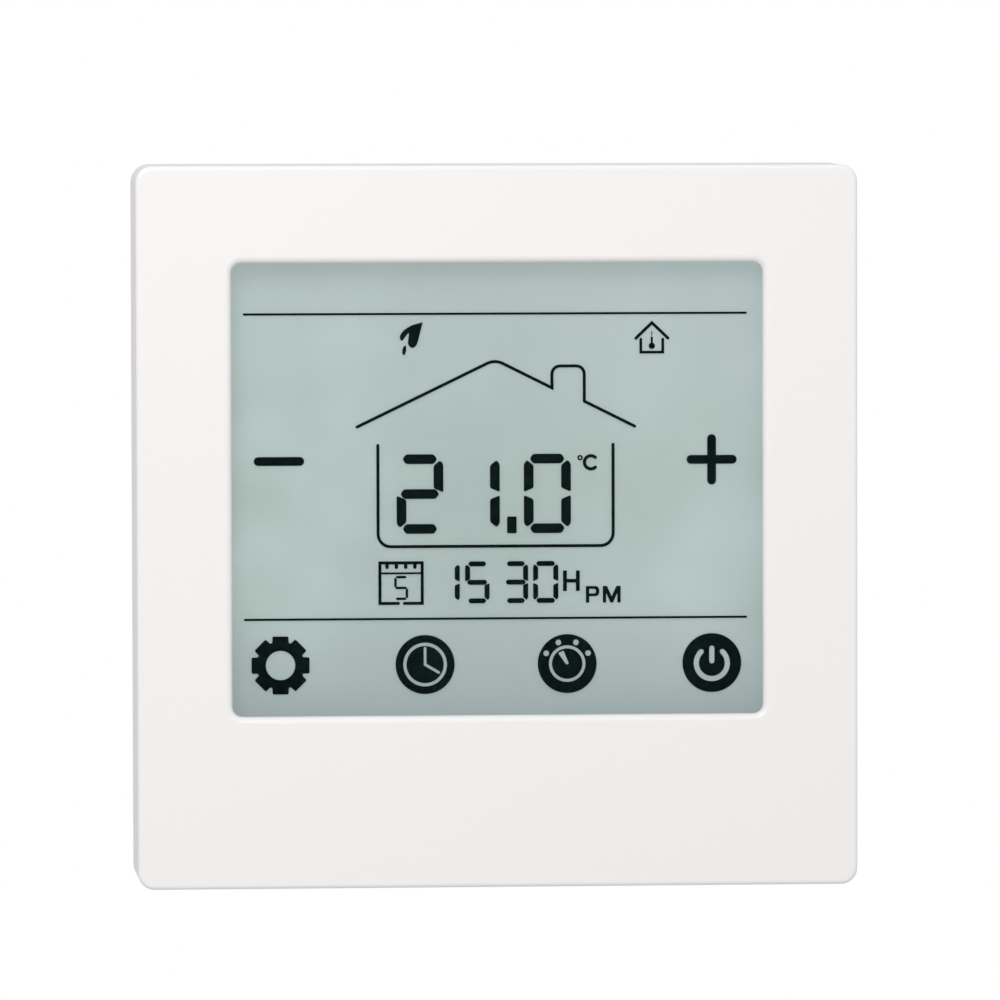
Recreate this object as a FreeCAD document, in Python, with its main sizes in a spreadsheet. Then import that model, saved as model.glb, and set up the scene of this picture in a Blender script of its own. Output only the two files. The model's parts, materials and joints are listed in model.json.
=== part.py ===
import FreeCAD, Part
import math
import os

import Sketcher
from FreeCAD import Placement, Rotation, Vector

# Wall-mounted programmable heating timer with a touch display.
#
# The row frame has +X to the right and +Z up as a person facing the timer sees it, and +Y into the
# wall. The origin is the middle of the wall plate's back face. "out" below is the distance from that
# face towards the room, along -Y, so pieces inside the wall box have a negative "out".

# ---------------------------------------------------------------- driving sizes, in mm and degrees
SIZES = {
    # front frame
    "frame_width": 86.0,
    "frame_height": 86.0,
    "frame_depth": 15.0,
    "frame_corner": 2.2,
    "frame_wall": 1.8,
    "face_thickness": 2.0,
    "side_draft": 1.0,
    "edge_round": 0.5,
    "skirt_gap": 0.4,
    "side_margin": 11.5,
    "top_margin": 11.75,
    "bottom_margin": 20.65,
    "window_corner": 1.2,
    "lip_thickness": 0.9,
    "lip_round": 0.8,
    "vent_width": 1.2,
    "vent_depth": 5.5,
    "vent_pitch": 3.0,
    "notch_width": 8.0,
    "notch_depth": 1.4,
    # display stack, from the touch panel back to the control board
    "touch_overlap": 3.0,
    "touch_thickness": 1.1,
    "gasket_thickness": 0.5,
    "gasket_rim": 0.3,
    "film_thickness": 0.2,
    "film_inset": 0.5,
    "glass_overlap": 2.2,
    "glass_thickness": 1.1,
    "glass_ledge": 2.2,
    "guide_inset": 1.5,
    "guide_thickness": 2.2,
    "led_width": 1.0,
    "led_length": 3.8,
    "led_pitch": 12.0,
    "strip_thickness": 1.6,
    "holder_wall": 1.4,
    "flex_width": 12.0,
    "flex_thickness": 0.2,
    "flex_bend": 1.0,
    # control board and what is soldered to it
    "board_side_gap": 5.2,
    "board_end_gap": 4.2,
    "board_corner": 1.5,
    "post_radius": 1.5,
    "post_inset": 6.0,
    "board_thickness": 1.2,
    "board_room": 2.9,
    "controller_size": 10.0,
    "controller_x": -20.0,
    "controller_z": 15.0,
    "driver_length": 12.0,
    "driver_width": 6.0,
    "driver_x": 16.0,
    "driver_z": 16.0,
    "chip_height": 1.4,
    "lead_width": 0.35,
    "lead_height": 0.4,
    "lead_reach": 1.0,
    "lead_pitch": 0.8,
    "crystal_radius": 1.0,
    "crystal_length": 6.2,
    "cell_radius": 6.25,
    "cell_height": 2.0,
    "cell_x": 22.0,
    "cell_z": -16.0,
    "clip_strip": 4.0,
    "clip_thickness": 0.25,
    "sounder_size": 9.0,
    "sounder_height": 1.9,
    "sounder_hole": 0.6,
    "sensor_radius": 1.0,
    "sensor_lead": 0.2,
    "sensor_stand_off": 1.5,
    "small_part_length": 1.6,
    "small_part_width": 0.8,
    "small_part_height": 0.5,
    "small_part_pitch": 3.0,
    # pin header and the socket it plugs into
    "pin_pitch": 2.54,
    "pin_width": 0.64,
    "pin_reach": 6.0,
    "header_height": 2.5,
    "header_width": 2.5,
    "socket_height": 8.5,
    "socket_hole": 0.9,
    "socket_hole_depth": 6.6,
    # back of the front unit and its screws
    "back_thickness": 1.4,
    "boss_inset": 4.4,
    "boss_radius": 2.0,
    "boss_hole_depth": 7.0,
    "cover_screw_radius": 1.05,
    "cover_screw_head": 2.0,
    "cover_screw_length": 7.0,
    # wall plate
    "plate_gap": 6.2,
    "plate_room": 0.8,
    "plate_corner": 3.0,
    "plate_thickness": 1.0,
    "wall_screw_spacing": 60.3,
    "wall_slot_width": 4.2,
    "wall_slot_length": 7.2,
    "tab_width": 8.0,
    "tab_height": 4.4,
    "tab_spacing": 40.0,
    "tab_relief": 0.8,
    "tab_relief_depth": 2.0,
    "tab_bend": 0.4,
    "plate_vent_width": 24.0,
    "plate_vent_height": 11.0,
    "plate_vent_spacing": 26.0,
    "plate_vent_corner": 2.0,
    # power box inside the wall box
    "box_width": 52.0,
    "box_height": 52.0,
    "box_depth": 28.0,
    "box_corner": 4.0,
    "box_wall": 1.6,
    "box_round": 1.2,
    "step_depth": 9.0,
    "step_wall_gap": 1.8,
    "box_screw_spacing": 45.0,
    "box_boss_radius": 2.6,
    "box_boss_depth": 10.0,
    "box_screw_radius": 1.25,
    "box_screw_head": 2.2,
    "box_screw_length": 9.0,
    "box_vent_width": 1.6,
    "box_vent_depth": 12.0,
    "box_vent_pitch": 4.0,
    "rail_size": 1.8,
    "rail_spacing": 16.0,
    # power board
    "power_board_gap": 0.8,
    "power_board_set_back": 5.0,
    "power_board_thickness": 1.6,
    "power_board_notch": 6.0,
    # terminal block with rising clamps
    "way_pitch": 5.0,
    "block_end_wall": 0.5,
    "block_depth": 9.0,
    "block_proud": 0.5,
    "block_inset": 0.2,
    "entry_wall": 1.2,
    "entry_width": 3.2,
    "way_width": 4.2,
    "way_length": 6.4,
    "head_sink": 0.6,
    "shelf_thickness": 0.8,
    "cage_width": 3.8,
    "cage_length": 5.0,
    "cage_height": 5.6,
    "cage_wall": 0.5,
    "cage_end_wall": 0.7,
    "cage_travel": 2.4,
    "tongue_thickness": 0.8,
    "tongue_width": 1.8,
    "solder_reach": 0.8,
    "terminal_screw_radius": 1.25,
    "terminal_head_radius": 1.9,
    "terminal_head_height": 1.8,
    "driver_slot": 0.5,
    # relay
    "relay_length": 29.0,
    "relay_width": 12.7,
    "relay_height": 15.7,
    "relay_base_height": 1.8,
    "relay_wall": 0.8,
    "relay_round": 0.6,
    "relay_left": 21.5,
    "relay_below": 6.6,
    "coil_length": 14.5,
    "coil_radius": 4.0,
    "flange_radius": 4.4,
    "flange_thickness": 0.8,
    "former_wall": 0.7,
    "core_radius": 2.0,
    "pole_radius": 2.6,
    "pole_thickness": 0.6,
    "iron_thickness": 1.0,
    "iron_width": 7.0,
    "yoke_end_gap": 0.3,
    "pole_gap": 0.5,
    "armature_height": 8.4,
    "spring_thickness": 0.2,
    "spring_width": 4.0,
    "spring_start": 2.0,
    "spring_reach": 11.0,
    "contact_radius": 0.8,
    "contact_thickness": 0.6,
    "contact_gap": 0.62,
    "strip_gauge": 0.4,
    "strip_clear": 3.5,
    "relay_pin_radius": 0.5,
    "coil_pin_spacing": 8.4,
    # other parts on the power board
    "core_width": 13.0,
    "core_height": 12.0,
    "core_depth": 6.0,
    "core_leg": 2.6,
    "core_centre_leg": 4.0,
    "transformer_x": 15.0,
    "transformer_z": -6.5,
    "large_can_radius": 4.0,
    "large_can_height": 12.0,
    "large_can_x": -14.0,
    "small_can_radius": 3.15,
    "small_can_height": 11.0,
    "small_can_x": -5.0,
    "can_z": 7.0,
    "can_round": 0.6,
    "film_cap_length": 13.0,
    "film_cap_width": 5.0,
    "film_cap_height": 11.0,
    "film_cap_x": 7.0,
    "film_cap_z": 6.0,
    "varistor_radius": 4.5,
    "varistor_thickness": 3.6,
    "varistor_x": 18.0,
    "varistor_z": 6.5,
    "wire_radius": 0.3,
    "fuse_radius": 4.2,
    "fuse_height": 7.6,
    "fuse_x": -11.0,
    "fuse_z": 16.5,
    # clearances
    "fit_gap": 0.15,
    "slide_gap": 0.4,
    "end_gap": 0.1,
    "thread_gap": 0.04,
    "touch_gap": 0.02,
}
WAYS = 6
PINS = 10
LEADS_PER_SIDE = 11
FRAME_VENTS = 9
BOX_VENTS = 7
LEDS = 4


# ---------------------------------------------------------------- the sheet and its arithmetic
class Size:
    """A number in mm together with the sheet expression that gives it."""

    def __init__(self, value, text):
        self.value = value
        self.text = text

    def joined(self, other, sign, value):
        return Size(value, f"({self.text} {sign} {as_size(other).text})")

    def __add__(self, other):
        return self.joined(other, "+", self.value + as_size(other).value)

    def __sub__(self, other):
        return self.joined(other, "-", self.value - as_size(other).value)

    def __mul__(self, other):
        return self.joined(other, "*", self.value * as_size(other).value)

    def __truediv__(self, other):
        return self.joined(other, "/", self.value / as_size(other).value)

    def __neg__(self):
        return Size(-self.value, f"(0 - {self.text})")

    def __radd__(self, other):
        return as_size(other) + self

    def __rsub__(self, other):
        return as_size(other) - self

    def __rmul__(self, other):
        return as_size(other) * self

    def __float__(self):
        return float(self.value)


def as_size(value):
    return value if isinstance(value, Size) else Size(float(value), repr(float(value)))


doc = FreeCAD.newDocument("ProgrammableTimer")
sheet = doc.addObject("Spreadsheet::Sheet", "Dims")
for row, (alias, number) in enumerate(SIZES.items(), start=1):
    sheet.set(f"A{row}", alias)
    sheet.set(f"B{row}", str(number))
    sheet.setAlias(f"B{row}", alias)
doc.recompute()


class Dims:
    """Reads a driving size from the sheet by its alias, as d.frame_width."""

    def __getattr__(self, alias):
        return Size(float(sheet.get(alias)), f"Dims.{alias}")


d = Dims()
ZERO = as_size(0)


def bind(item, name, size):
    item.setExpression(name, as_size(size).text)


# ---------------------------------------------------------------- Part primitives
def put(item, x, out, z):
    bind(item, "Placement.Base.x", x)
    bind(item, "Placement.Base.y", -as_size(out))
    bind(item, "Placement.Base.z", z)


def block(name, wide, thick, tall, x=ZERO, out=ZERO, z=ZERO):
    """Box centred on x and z, whose back is at out and whose front is thick nearer the room."""
    item = doc.addObject("Part::Box", name)
    bind(item, "Length", wide)
    bind(item, "Width", thick)
    bind(item, "Height", tall)
    put(item, x - as_size(wide) / 2, as_size(out) + thick, z - as_size(tall) / 2)
    return item


TOWARDS_ROOM = Rotation(Vector(1, 0, 0), 90)
TOWARDS_RIGHT = Rotation(Vector(0, 1, 0), 90)
UPWARDS = Rotation()


def rod(name, radius, length, x=ZERO, out=ZERO, z=ZERO, turn=TOWARDS_ROOM):
    """Cylinder that starts at x, out, z and runs towards the room, to the right or up."""
    item = doc.addObject("Part::Cylinder", name)
    item.Placement = Placement(Vector(), turn)
    bind(item, "Radius", radius)
    bind(item, "Height", length)
    put(item, x, out, z)
    return item


def cone(name, back_radius, front_radius, length, x, out, z):
    item = doc.addObject("Part::Cone", name)
    item.Placement = Placement(Vector(), TOWARDS_ROOM)
    bind(item, "Radius1", back_radius)
    bind(item, "Radius2", front_radius)
    bind(item, "Height", length)
    put(item, x, out, z)
    return item


def fuse(name, *items):
    item = doc.addObject("Part::MultiFuse", name)
    item.Shapes = list(items)
    return item


def cut(name, base, *tools):
    tool = tools[0] if len(tools) == 1 else fuse(f"{name}_tool", *tools)
    item = doc.addObject("Part::Cut", name)
    item.Base = base
    item.Tool = tool
    return item


def group(name, items):
    """Separate solids that make one sub-part, such as a set of equal screws."""
    item = doc.addObject("Part::Compound", name)
    item.Links = list(items)
    return item


# ---------------------------------------------------------------- PartDesign bodies
def new_body(name):
    return doc.addObject("PartDesign::Body", name)


def sketch_at(body, out=ZERO, plane="XZ_Plane"):
    """Sketch on the body's upright plane, moved out from the wall, or on its level plane."""
    sketch = body.newObject("Sketcher::SketchObject", f"{body.Name}_sketch")
    support = next(f for f in body.Origin.OriginFeatures if f.Role == plane)
    sketch.AttachmentSupport = [(support, "")]
    sketch.MapMode = "FlatFace"
    bind(sketch, ".AttachmentOffset.Base.z", out)
    return sketch


def limit(sketch, kind, points, size):
    """Adds a dimension to the sketch and binds it to the sheet."""
    number = sketch.addConstraint(Sketcher.Constraint(kind, *points, float(size)))
    sketch.setExpression(f"Constraints[{number}]", as_size(size).text)


def draw_rectangle(sketch, wide, tall, x=ZERO, z=ZERO, corner=None):
    """Rectangle centred on x, z, with round corners where a corner radius is given."""
    wide, tall, x, z = (as_size(s) for s in (wide, tall, x, z))
    r = float(corner) if corner is not None else 0.0
    left, right = float(x - wide / 2), float(x + wide / 2)
    low, high = float(z - tall / 2), float(z + tall / 2)
    ends = [
        ((left + r, low), (right - r, low)),
        ((right, low + r), (right, high - r)),
        ((right - r, high), (left + r, high)),
        ((left, high - r), (left, low + r)),
    ]
    sides = [
        sketch.addGeometry(Part.LineSegment(Vector(*a, 0), Vector(*b, 0)), False) for a, b in ends
    ]
    if corner is None:
        for i, side in enumerate(sides):
            joint = Sketcher.Constraint("Coincident", side, 2, sides[(i + 1) % 4], 1)
            sketch.addConstraint(joint)
    else:
        centres = [(right - r, low + r), (right - r, high - r), (left + r, high - r), (left + r, low + r)]
        arcs = []
        for i, centre in enumerate(centres):
            start = math.radians(270 + 90 * i)
            circle = Part.Circle(Vector(*centre, 0), Vector(0, 0, 1), r)
            arc = Part.ArcOfCircle(circle, start, start + math.pi / 2)
            arcs.append(sketch.addGeometry(arc, False))
        for i, arc in enumerate(arcs):
            sketch.addConstraint(Sketcher.Constraint("Tangent", sides[i], 2, arc, 1))
            sketch.addConstraint(Sketcher.Constraint("Tangent", arc, 2, sides[(i + 1) % 4], 1))
        for arc in arcs[1:]:
            sketch.addConstraint(Sketcher.Constraint("Equal", arcs[0], arc))
        limit(sketch, "Radius", (arcs[0],), corner)
    for side, kind in zip(sides, ("Horizontal", "Vertical", "Horizontal", "Vertical")):
        sketch.addConstraint(Sketcher.Constraint(kind, side))
    limit(sketch, "DistanceX", (-1, 1, sides[3], 1), x - wide / 2)
    limit(sketch, "DistanceX", (-1, 1, sides[1], 1), x + wide / 2)
    limit(sketch, "DistanceY", (-1, 1, sides[0], 1), z - tall / 2)
    limit(sketch, "DistanceY", (-1, 1, sides[2], 1), z + tall / 2)


def draw_polygon(sketch, corners):
    """Closed outline through the corners, each a pair of sizes."""
    count = len(corners)
    lines = []
    for i, (x, z) in enumerate(corners):
        next_x, next_z = corners[(i + 1) % count]
        start, end = Vector(float(x), float(z), 0), Vector(float(next_x), float(next_z), 0)
        lines.append(sketch.addGeometry(Part.LineSegment(start, end), False))
    for i, line in enumerate(lines):
        sketch.addConstraint(Sketcher.Constraint("Coincident", line, 2, lines[(i + 1) % count], 1))
    for line, (x, z) in zip(lines, corners):
        limit(sketch, "DistanceX", (-1, 1, line, 1), x)
        limit(sketch, "DistanceY", (-1, 1, line, 1), z)


def draw_circle(sketch, radius, x=ZERO, z=ZERO):
    centre = Vector(float(x), float(z), 0)
    circle = sketch.addGeometry(Part.Circle(centre, Vector(0, 0, 1), float(radius)), False)
    limit(sketch, "Radius", (circle,), radius)
    limit(sketch, "DistanceX", (-1, 1, circle, 3), x)
    limit(sketch, "DistanceY", (-1, 1, circle, 3), z)


def draw_slot(sketch, width, length, x=ZERO, z=ZERO, upright=False):
    """Slot with round ends, centred on x, z, of that length from end to end."""
    width, length, x, z = (as_size(s) for s in (width, length, x, z))
    run = (length - width) / 2
    r = float(width) / 2
    along = Vector(0, float(run), 0) if upright else Vector(float(run), 0, 0)
    side = Vector(-r, 0, 0) if upright else Vector(0, r, 0)
    middle = Vector(float(x), float(z), 0)
    turn = 0.0 if upright else -math.pi / 2
    ends = [
        Part.ArcOfCircle(Part.Circle(middle + along, Vector(0, 0, 1), r), turn, turn + math.pi),
        Part.ArcOfCircle(
            Part.Circle(middle - along, Vector(0, 0, 1), r), turn + math.pi, turn + 2 * math.pi
        ),
    ]
    arcs = [sketch.addGeometry(end, False) for end in ends]
    lines = [
        sketch.addGeometry(Part.LineSegment(middle + along + side, middle - along + side), False),
        sketch.addGeometry(Part.LineSegment(middle - along - side, middle + along - side), False),
    ]
    for arc, line in ((0, 0), (1, 1)):
        sketch.addConstraint(Sketcher.Constraint("Tangent", arcs[arc], 2, lines[line], 1))
        sketch.addConstraint(Sketcher.Constraint("Tangent", lines[line], 2, arcs[1 - arc], 1))
    sketch.addConstraint(Sketcher.Constraint("Equal", arcs[0], arcs[1]))
    limit(sketch, "Radius", (arcs[0],), width / 2)
    offset_x, offset_z = (ZERO, run) if upright else (run, ZERO)
    for arc, sign in ((arcs[0], 1), (arcs[1], -1)):
        limit(sketch, "DistanceX", (-1, 1, arc, 3), x + offset_x * sign)
        if arc == arcs[0] or upright:
            limit(sketch, "DistanceY", (-1, 1, arc, 3), z + offset_z * sign)


def pad(body, sketch, length, taper=None):
    feature = body.newObject("PartDesign::Pad", f"{body.Name}_pad")
    feature.Profile = sketch
    bind(feature, "Length", length)
    if taper is not None:
        bind(feature, "TaperAngle", taper)
    body.Tip = feature
    return feature


def pocket(body, sketch, length=None, towards_room=True):
    """Cuts the sketch out of the body, towards the room or the other way; on a level plane that is
    up or down. Without a length the cut goes right through."""
    feature = body.newObject("PartDesign::Pocket", f"{body.Name}_pocket")
    feature.Profile = sketch
    if length is None:
        feature.Type = "ThroughAll"
    else:
        bind(feature, "Length", length)
    feature.Reversed = towards_room
    body.Tip = feature
    return feature


def dress(body, kind, radius, is_wanted):
    """Adds a fillet or chamfer to the edges of the body's last shape that is_wanted accepts."""
    doc.recompute()
    base = body.Tip
    names = [f"Edge{i}" for i, e in enumerate(base.Shape.Edges, start=1) if is_wanted(e)]
    feature = body.newObject(f"PartDesign::{kind}", f"{body.Name}_{kind.lower()}")
    feature.Base = (base, names)
    bind(feature, "Radius" if kind == "Fillet" else "Size", radius)
    body.Tip = feature
    return feature


def lies_out(edge, out, slack=1e-3):
    """True if the whole edge is that far out from the wall."""
    box = edge.BoundBox
    return abs(box.YMin + float(out)) < slack and abs(box.YMax + float(out)) < slack


def mirrored_corners(x, z):
    return [(x * sx, z * sz) for sx in (-1, 1) for sz in (-1, 1)]


def spread(count, pitch):
    """Evenly spaced offsets about zero."""
    return [pitch * (i - (count - 1) / 2) for i in range(count)]


# ---------------------------------------------------------------- where the layers lie
window_width = d.frame_width - d.side_margin * 2
window_height = d.frame_height - d.top_margin - d.bottom_margin
window_z = (d.bottom_margin - d.top_margin) / 2
back_rear = d.plate_thickness + d.plate_room
back_front = back_rear + d.back_thickness
board_back = back_front + d.board_room
board_front = board_back + d.board_thickness
guide_back = board_front + d.film_thickness
diffuser_back = guide_back + d.guide_thickness
rear_film_back = diffuser_back + d.film_thickness
rear_glass_back = rear_film_back + d.film_thickness
front_glass_back = rear_glass_back + d.glass_thickness
front_glass_front = front_glass_back + d.glass_thickness
polariser_front = front_glass_front + d.film_thickness
touch_back = polariser_front + d.gasket_thickness
touch_front = touch_back + d.touch_thickness
face_out = touch_front + d.lip_thickness
skirt_out = face_out - (d.frame_depth - d.skirt_gap)

glass_width = window_width + d.glass_overlap * 2
rear_glass_height = window_height + d.glass_overlap * 2
front_glass_height = rear_glass_height + d.glass_ledge * 2
film_width = glass_width - d.film_inset * 2
film_height = rear_glass_height - d.film_inset * 2
guide_width = glass_width - d.guide_inset * 2
guide_height = rear_glass_height - d.film_inset * 4
holder_width = glass_width + (d.fit_gap + d.holder_wall) * 2
holder_height = front_glass_height + (d.fit_gap + d.holder_wall) * 2
touch_width = window_width + d.touch_overlap * 2
touch_height = window_height + d.touch_overlap * 2

inside_width = d.frame_width - d.frame_wall * 2
inside_height = d.frame_height - d.frame_wall * 2
boss_x = d.frame_width / 2 - d.boss_inset
boss_z = d.frame_height / 2 - d.boss_inset
control_width = inside_width - d.board_side_gap * 2
control_height = inside_height - d.board_end_gap * 2
plate_width = inside_width - d.plate_gap * 2
plate_height = inside_height - d.plate_gap * 2
tab_z = plate_height / 2 - d.plate_thickness / 2
post_x = control_width / 2 - d.post_inset
post_z = control_height / 2 - d.post_inset

power_front = -d.power_board_set_back
power_back = power_front - d.power_board_thickness
box_inside_width = d.box_width - d.box_wall * 2
box_inside_height = d.box_height - d.box_wall * 2
power_board_width = box_inside_width - d.power_board_gap * 2
power_board_height = box_inside_height - d.power_board_gap * 2
box_screw_at = d.box_screw_spacing / 2
header_length = d.pin_pitch * PINS


# ---------------------------------------------------------------- front unit: frame and back
def make_front_frame():
    body = new_body("front_frame")
    outline = sketch_at(body, skirt_out)
    draw_rectangle(outline, d.frame_width, d.frame_height, corner=d.frame_corner)
    pad(body, outline, d.frame_depth - d.skirt_gap, taper=-d.side_draft)
    dress(body, "Fillet", d.edge_round, lambda e: lies_out(e, face_out))

    cavity = sketch_at(body, skirt_out)
    draw_rectangle(cavity, inside_width, inside_height, corner=d.frame_corner - d.edge_round)
    pocket(body, cavity, d.frame_depth - d.face_thickness - d.skirt_gap)

    rebate = sketch_at(body, face_out - d.face_thickness)
    draw_rectangle(
        rebate, touch_width + d.fit_gap * 2, touch_height + d.fit_gap * 2, z=window_z, corner=d.window_corner
    )
    pocket(body, rebate, d.face_thickness - d.lip_thickness)

    window = sketch_at(body, touch_front)
    draw_rectangle(window, window_width, window_height, z=window_z, corner=d.window_corner)
    pocket(body, window, d.lip_thickness)
    reach = float(window_width) / 2 + 1e-3

    def on_lip(edge):
        return lies_out(edge, face_out) and edge.BoundBox.XMax < reach and edge.BoundBox.XMin > -reach

    dress(body, "Fillet", d.lip_round, on_lip)

    bosses = sketch_at(body, back_front)
    for x, z in mirrored_corners(boss_x, boss_z):
        draw_circle(bosses, d.boss_radius, x, z)
    pad(body, bosses, face_out - d.face_thickness - back_front)
    pilots = sketch_at(body, back_front)
    for x, z in mirrored_corners(boss_x, boss_z):
        draw_circle(pilots, d.cover_screw_radius + d.thread_gap, x, z)
    pocket(body, pilots, d.boss_hole_depth)

    vents = sketch_at(body, plane="XY_Plane")
    vent_out = (face_out - d.face_thickness + back_front) / 2
    for x in spread(FRAME_VENTS, d.vent_pitch):
        draw_slot(vents, d.vent_width, d.vent_depth, x, -vent_out, upright=True)
    pocket(body, vents, towards_room=False)

    notch = sketch_at(body, skirt_out)
    draw_rectangle(
        notch, d.notch_width, d.frame_wall * 2, z=d.frame_wall - d.frame_height / 2 - d.frame_corner / 2
    )
    pocket(body, notch, d.notch_depth)
    return body


def make_frame_back():
    body = new_body("frame_back")
    outline = sketch_at(body, back_rear)
    draw_rectangle(
        outline,
        inside_width - d.fit_gap * 2,
        inside_height - d.fit_gap * 2,
        corner=d.frame_corner - d.edge_round,
    )
    pad(body, outline, d.back_thickness)
    posts = sketch_at(body, back_front)
    for x, z in mirrored_corners(post_x, post_z):
        draw_circle(posts, d.post_radius, x, z)
    pad(body, posts, d.board_room)

    openings = sketch_at(body, back_rear)
    socket_width = d.header_width + d.slide_gap * 4
    draw_rectangle(openings, header_length + d.slide_gap * 4, socket_width)
    for x, z in mirrored_corners(d.tab_spacing / 2, tab_z):
        draw_rectangle(openings, d.tab_width + d.slide_gap * 2, d.plate_thickness + d.slide_gap * 2, x, z)
    for x in spread(FRAME_VENTS, d.vent_pitch):
        for z in (-control_height * 0.3, control_height * 0.3):
            draw_slot(openings, d.vent_width, d.vent_depth * 2, x, z, upright=True)
    pocket(body, openings)

    holes = sketch_at(body, back_rear)
    for x, z in mirrored_corners(boss_x, boss_z):
        draw_circle(holes, d.cover_screw_radius + d.fit_gap, x, z)
    pocket(body, holes)
    hole_length = 2 * math.pi * float(d.cover_screw_radius + d.fit_gap)

    def on_hole(edge):
        return lies_out(edge, back_rear) and abs(edge.Length - hole_length) < 1e-3

    dress(body, "Chamfer", d.cover_screw_head - d.cover_screw_radius, on_hole)
    return body


def countersunk_screws(name, spots, radius, head_radius, length, head_out, towards_wall):
    """Equal screws with a flush 90 degree head at head_out and a cross recess."""
    screws = []
    head_height = head_radius - radius
    for i, (x, z) in enumerate(spots):
        if towards_wall:
            head = cone(f"{name}_head{i}", radius, head_radius, head_height, x, head_out - head_height, z)
            shank = rod(f"{name}_shank{i}", radius, length - head_height, x, head_out - length, z)
            recess_out = head_out - head_height * 0.6
        else:
            head = cone(f"{name}_head{i}", head_radius, radius, head_height, x, head_out, z)
            shank = rod(f"{name}_shank{i}", radius, length - head_height, x, head_out + head_height, z)
            recess_out = head_out - head_height * 0.4
        slots = [
            block(f"{name}_slot{i}", d.driver_slot, head_height, head_radius * 1.2, x, recess_out, z),
            block(f"{name}_cross{i}", head_radius * 1.2, head_height, d.driver_slot, x, recess_out, z),
        ]
        screws.append(cut(f"{name}_{i}", fuse(f"{name}_solid{i}", head, shank), *slots))
    return group(name, screws)


def make_cover_screws():
    return countersunk_screws(
        "cover_screws",
        mirrored_corners(boss_x, boss_z),
        d.cover_screw_radius,
        d.cover_screw_head,
        d.cover_screw_length,
        back_rear,
        towards_wall=False,
    )


# ---------------------------------------------------------------- front unit: display stack
def make_layer(name, wide, tall, back, thick, corner=None):
    """Flat sheet of the display stack, behind the window."""
    body = new_body(name)
    outline = sketch_at(body, back)
    draw_rectangle(outline, wide, tall, z=window_z, corner=corner)
    pad(body, outline, thick)
    return body


def make_ring(name, outer, inner, back, thick):
    """Flat frame round the display, from an outer and an inner (width, height)."""
    body = make_layer(name, *outer, back, thick)
    hole = sketch_at(body, back)
    draw_rectangle(hole, *inner, z=window_z)
    pocket(body, hole)
    return body


def make_display_gasket():
    """Foam frame between touch panel and display, open below where the touch tail leaves."""
    inner = (window_width + d.gasket_rim * 2, window_height + d.gasket_rim * 2)
    outer = (touch_width, touch_height)
    body = make_ring("display_gasket", outer, inner, polariser_front, d.gasket_thickness)
    gap = sketch_at(body, polariser_front)
    gap_z = window_z - touch_height / 2
    draw_rectangle(gap, d.flex_width + d.slide_gap * 2, d.touch_overlap * 2, z=gap_z)
    pocket(body, gap, d.gasket_thickness)
    return body


def make_display_stack():
    pieces = [
        make_layer("touch_panel", touch_width, touch_height, touch_back, d.touch_thickness, d.window_corner),
        make_display_gasket(),
        make_layer("front_polariser", film_width, film_height, front_glass_front, d.film_thickness),
        make_layer("lcd_front_glass", glass_width, front_glass_height, front_glass_back, d.glass_thickness),
        make_layer("lcd_rear_glass", glass_width, rear_glass_height, rear_glass_back, d.glass_thickness),
        make_layer("rear_polariser", film_width, film_height, rear_film_back, d.film_thickness),
        make_layer("diffuser_film", guide_width, guide_height, diffuser_back, d.film_thickness),
        make_layer("light_guide", guide_width, guide_height, guide_back, d.guide_thickness),
        make_layer("reflector_film", guide_width, guide_height, board_front, d.film_thickness),
        make_ring(
            "lcd_holder",
            (holder_width, holder_height),
            (glass_width + d.fit_gap * 2, front_glass_height + d.fit_gap * 2),
            board_front,
            polariser_front - board_front,
        ),
    ]
    led_x = -(guide_width / 2) - d.fit_gap - d.led_width / 2
    leds = [
        block(f"led{i}", d.led_width, d.guide_thickness, d.led_length, led_x, board_front, window_z + z)
        for i, z in enumerate(spread(LEDS, d.led_pitch))
    ]
    pieces.append(group("backlight_leds", leds))
    strip_z = rear_glass_height / 2 + d.glass_ledge / 2
    strips = [
        block(
            f"strip{i}",
            guide_width,
            front_glass_back - board_front,
            d.strip_thickness,
            out=board_front,
            z=window_z + strip_z * side,
        )
        for i, side in enumerate((-1, 1))
    ]
    pieces.append(group("contact_strips", strips))
    return pieces


# ---------------------------------------------------------------- front unit: tail and board
def make_touch_flex():
    """Flexible tail from the touch panel's lower edge, round the display holder, to the board."""
    body = new_body("touch_flex")
    start = window_z - touch_height / 2 + d.touch_overlap * 0.4
    fold = window_z - holder_height / 2 - d.slide_gap
    end = fold - d.flex_width / 3
    sheet_back = touch_back - d.flex_thickness
    sheet_front = board_front + d.flex_thickness
    profile = sketch_at(body, plane="YZ_Plane")
    corners = [
        (-touch_back, start),
        (-touch_back, fold - d.flex_thickness),
        (-sheet_front, fold - d.flex_thickness),
        (-sheet_front, end),
        (-board_front, end),
        (-board_front, fold),
        (-sheet_back, fold),
        (-sheet_back, start),
    ]
    draw_polygon(profile, corners)
    pad(body, profile, d.flex_width).Midplane = True

    def bend_edges(outs, level):
        def wanted(edge):
            box = edge.BoundBox
            spans = box.XLength > float(d.flex_width) - 1e-3
            return spans and abs(box.ZMin - float(level)) < 1e-3 and any(lies_out(edge, out) for out in outs)

        return wanted

    inner = d.flex_bend
    dress(body, "Fillet", inner, bend_edges([sheet_back], fold))
    dress(body, "Fillet", inner, bend_edges([sheet_front], fold - d.flex_thickness))
    dress(body, "Fillet", inner + d.flex_thickness, bend_edges([touch_back], fold - d.flex_thickness))
    dress(body, "Fillet", inner + d.flex_thickness, bend_edges([board_front], fold))
    return body


def make_control_board():
    body = new_body("control_board")
    outline = sketch_at(body, board_back)
    draw_rectangle(outline, control_width, control_height, corner=d.board_corner)
    pad(body, outline, d.board_thickness)
    return body


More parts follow.
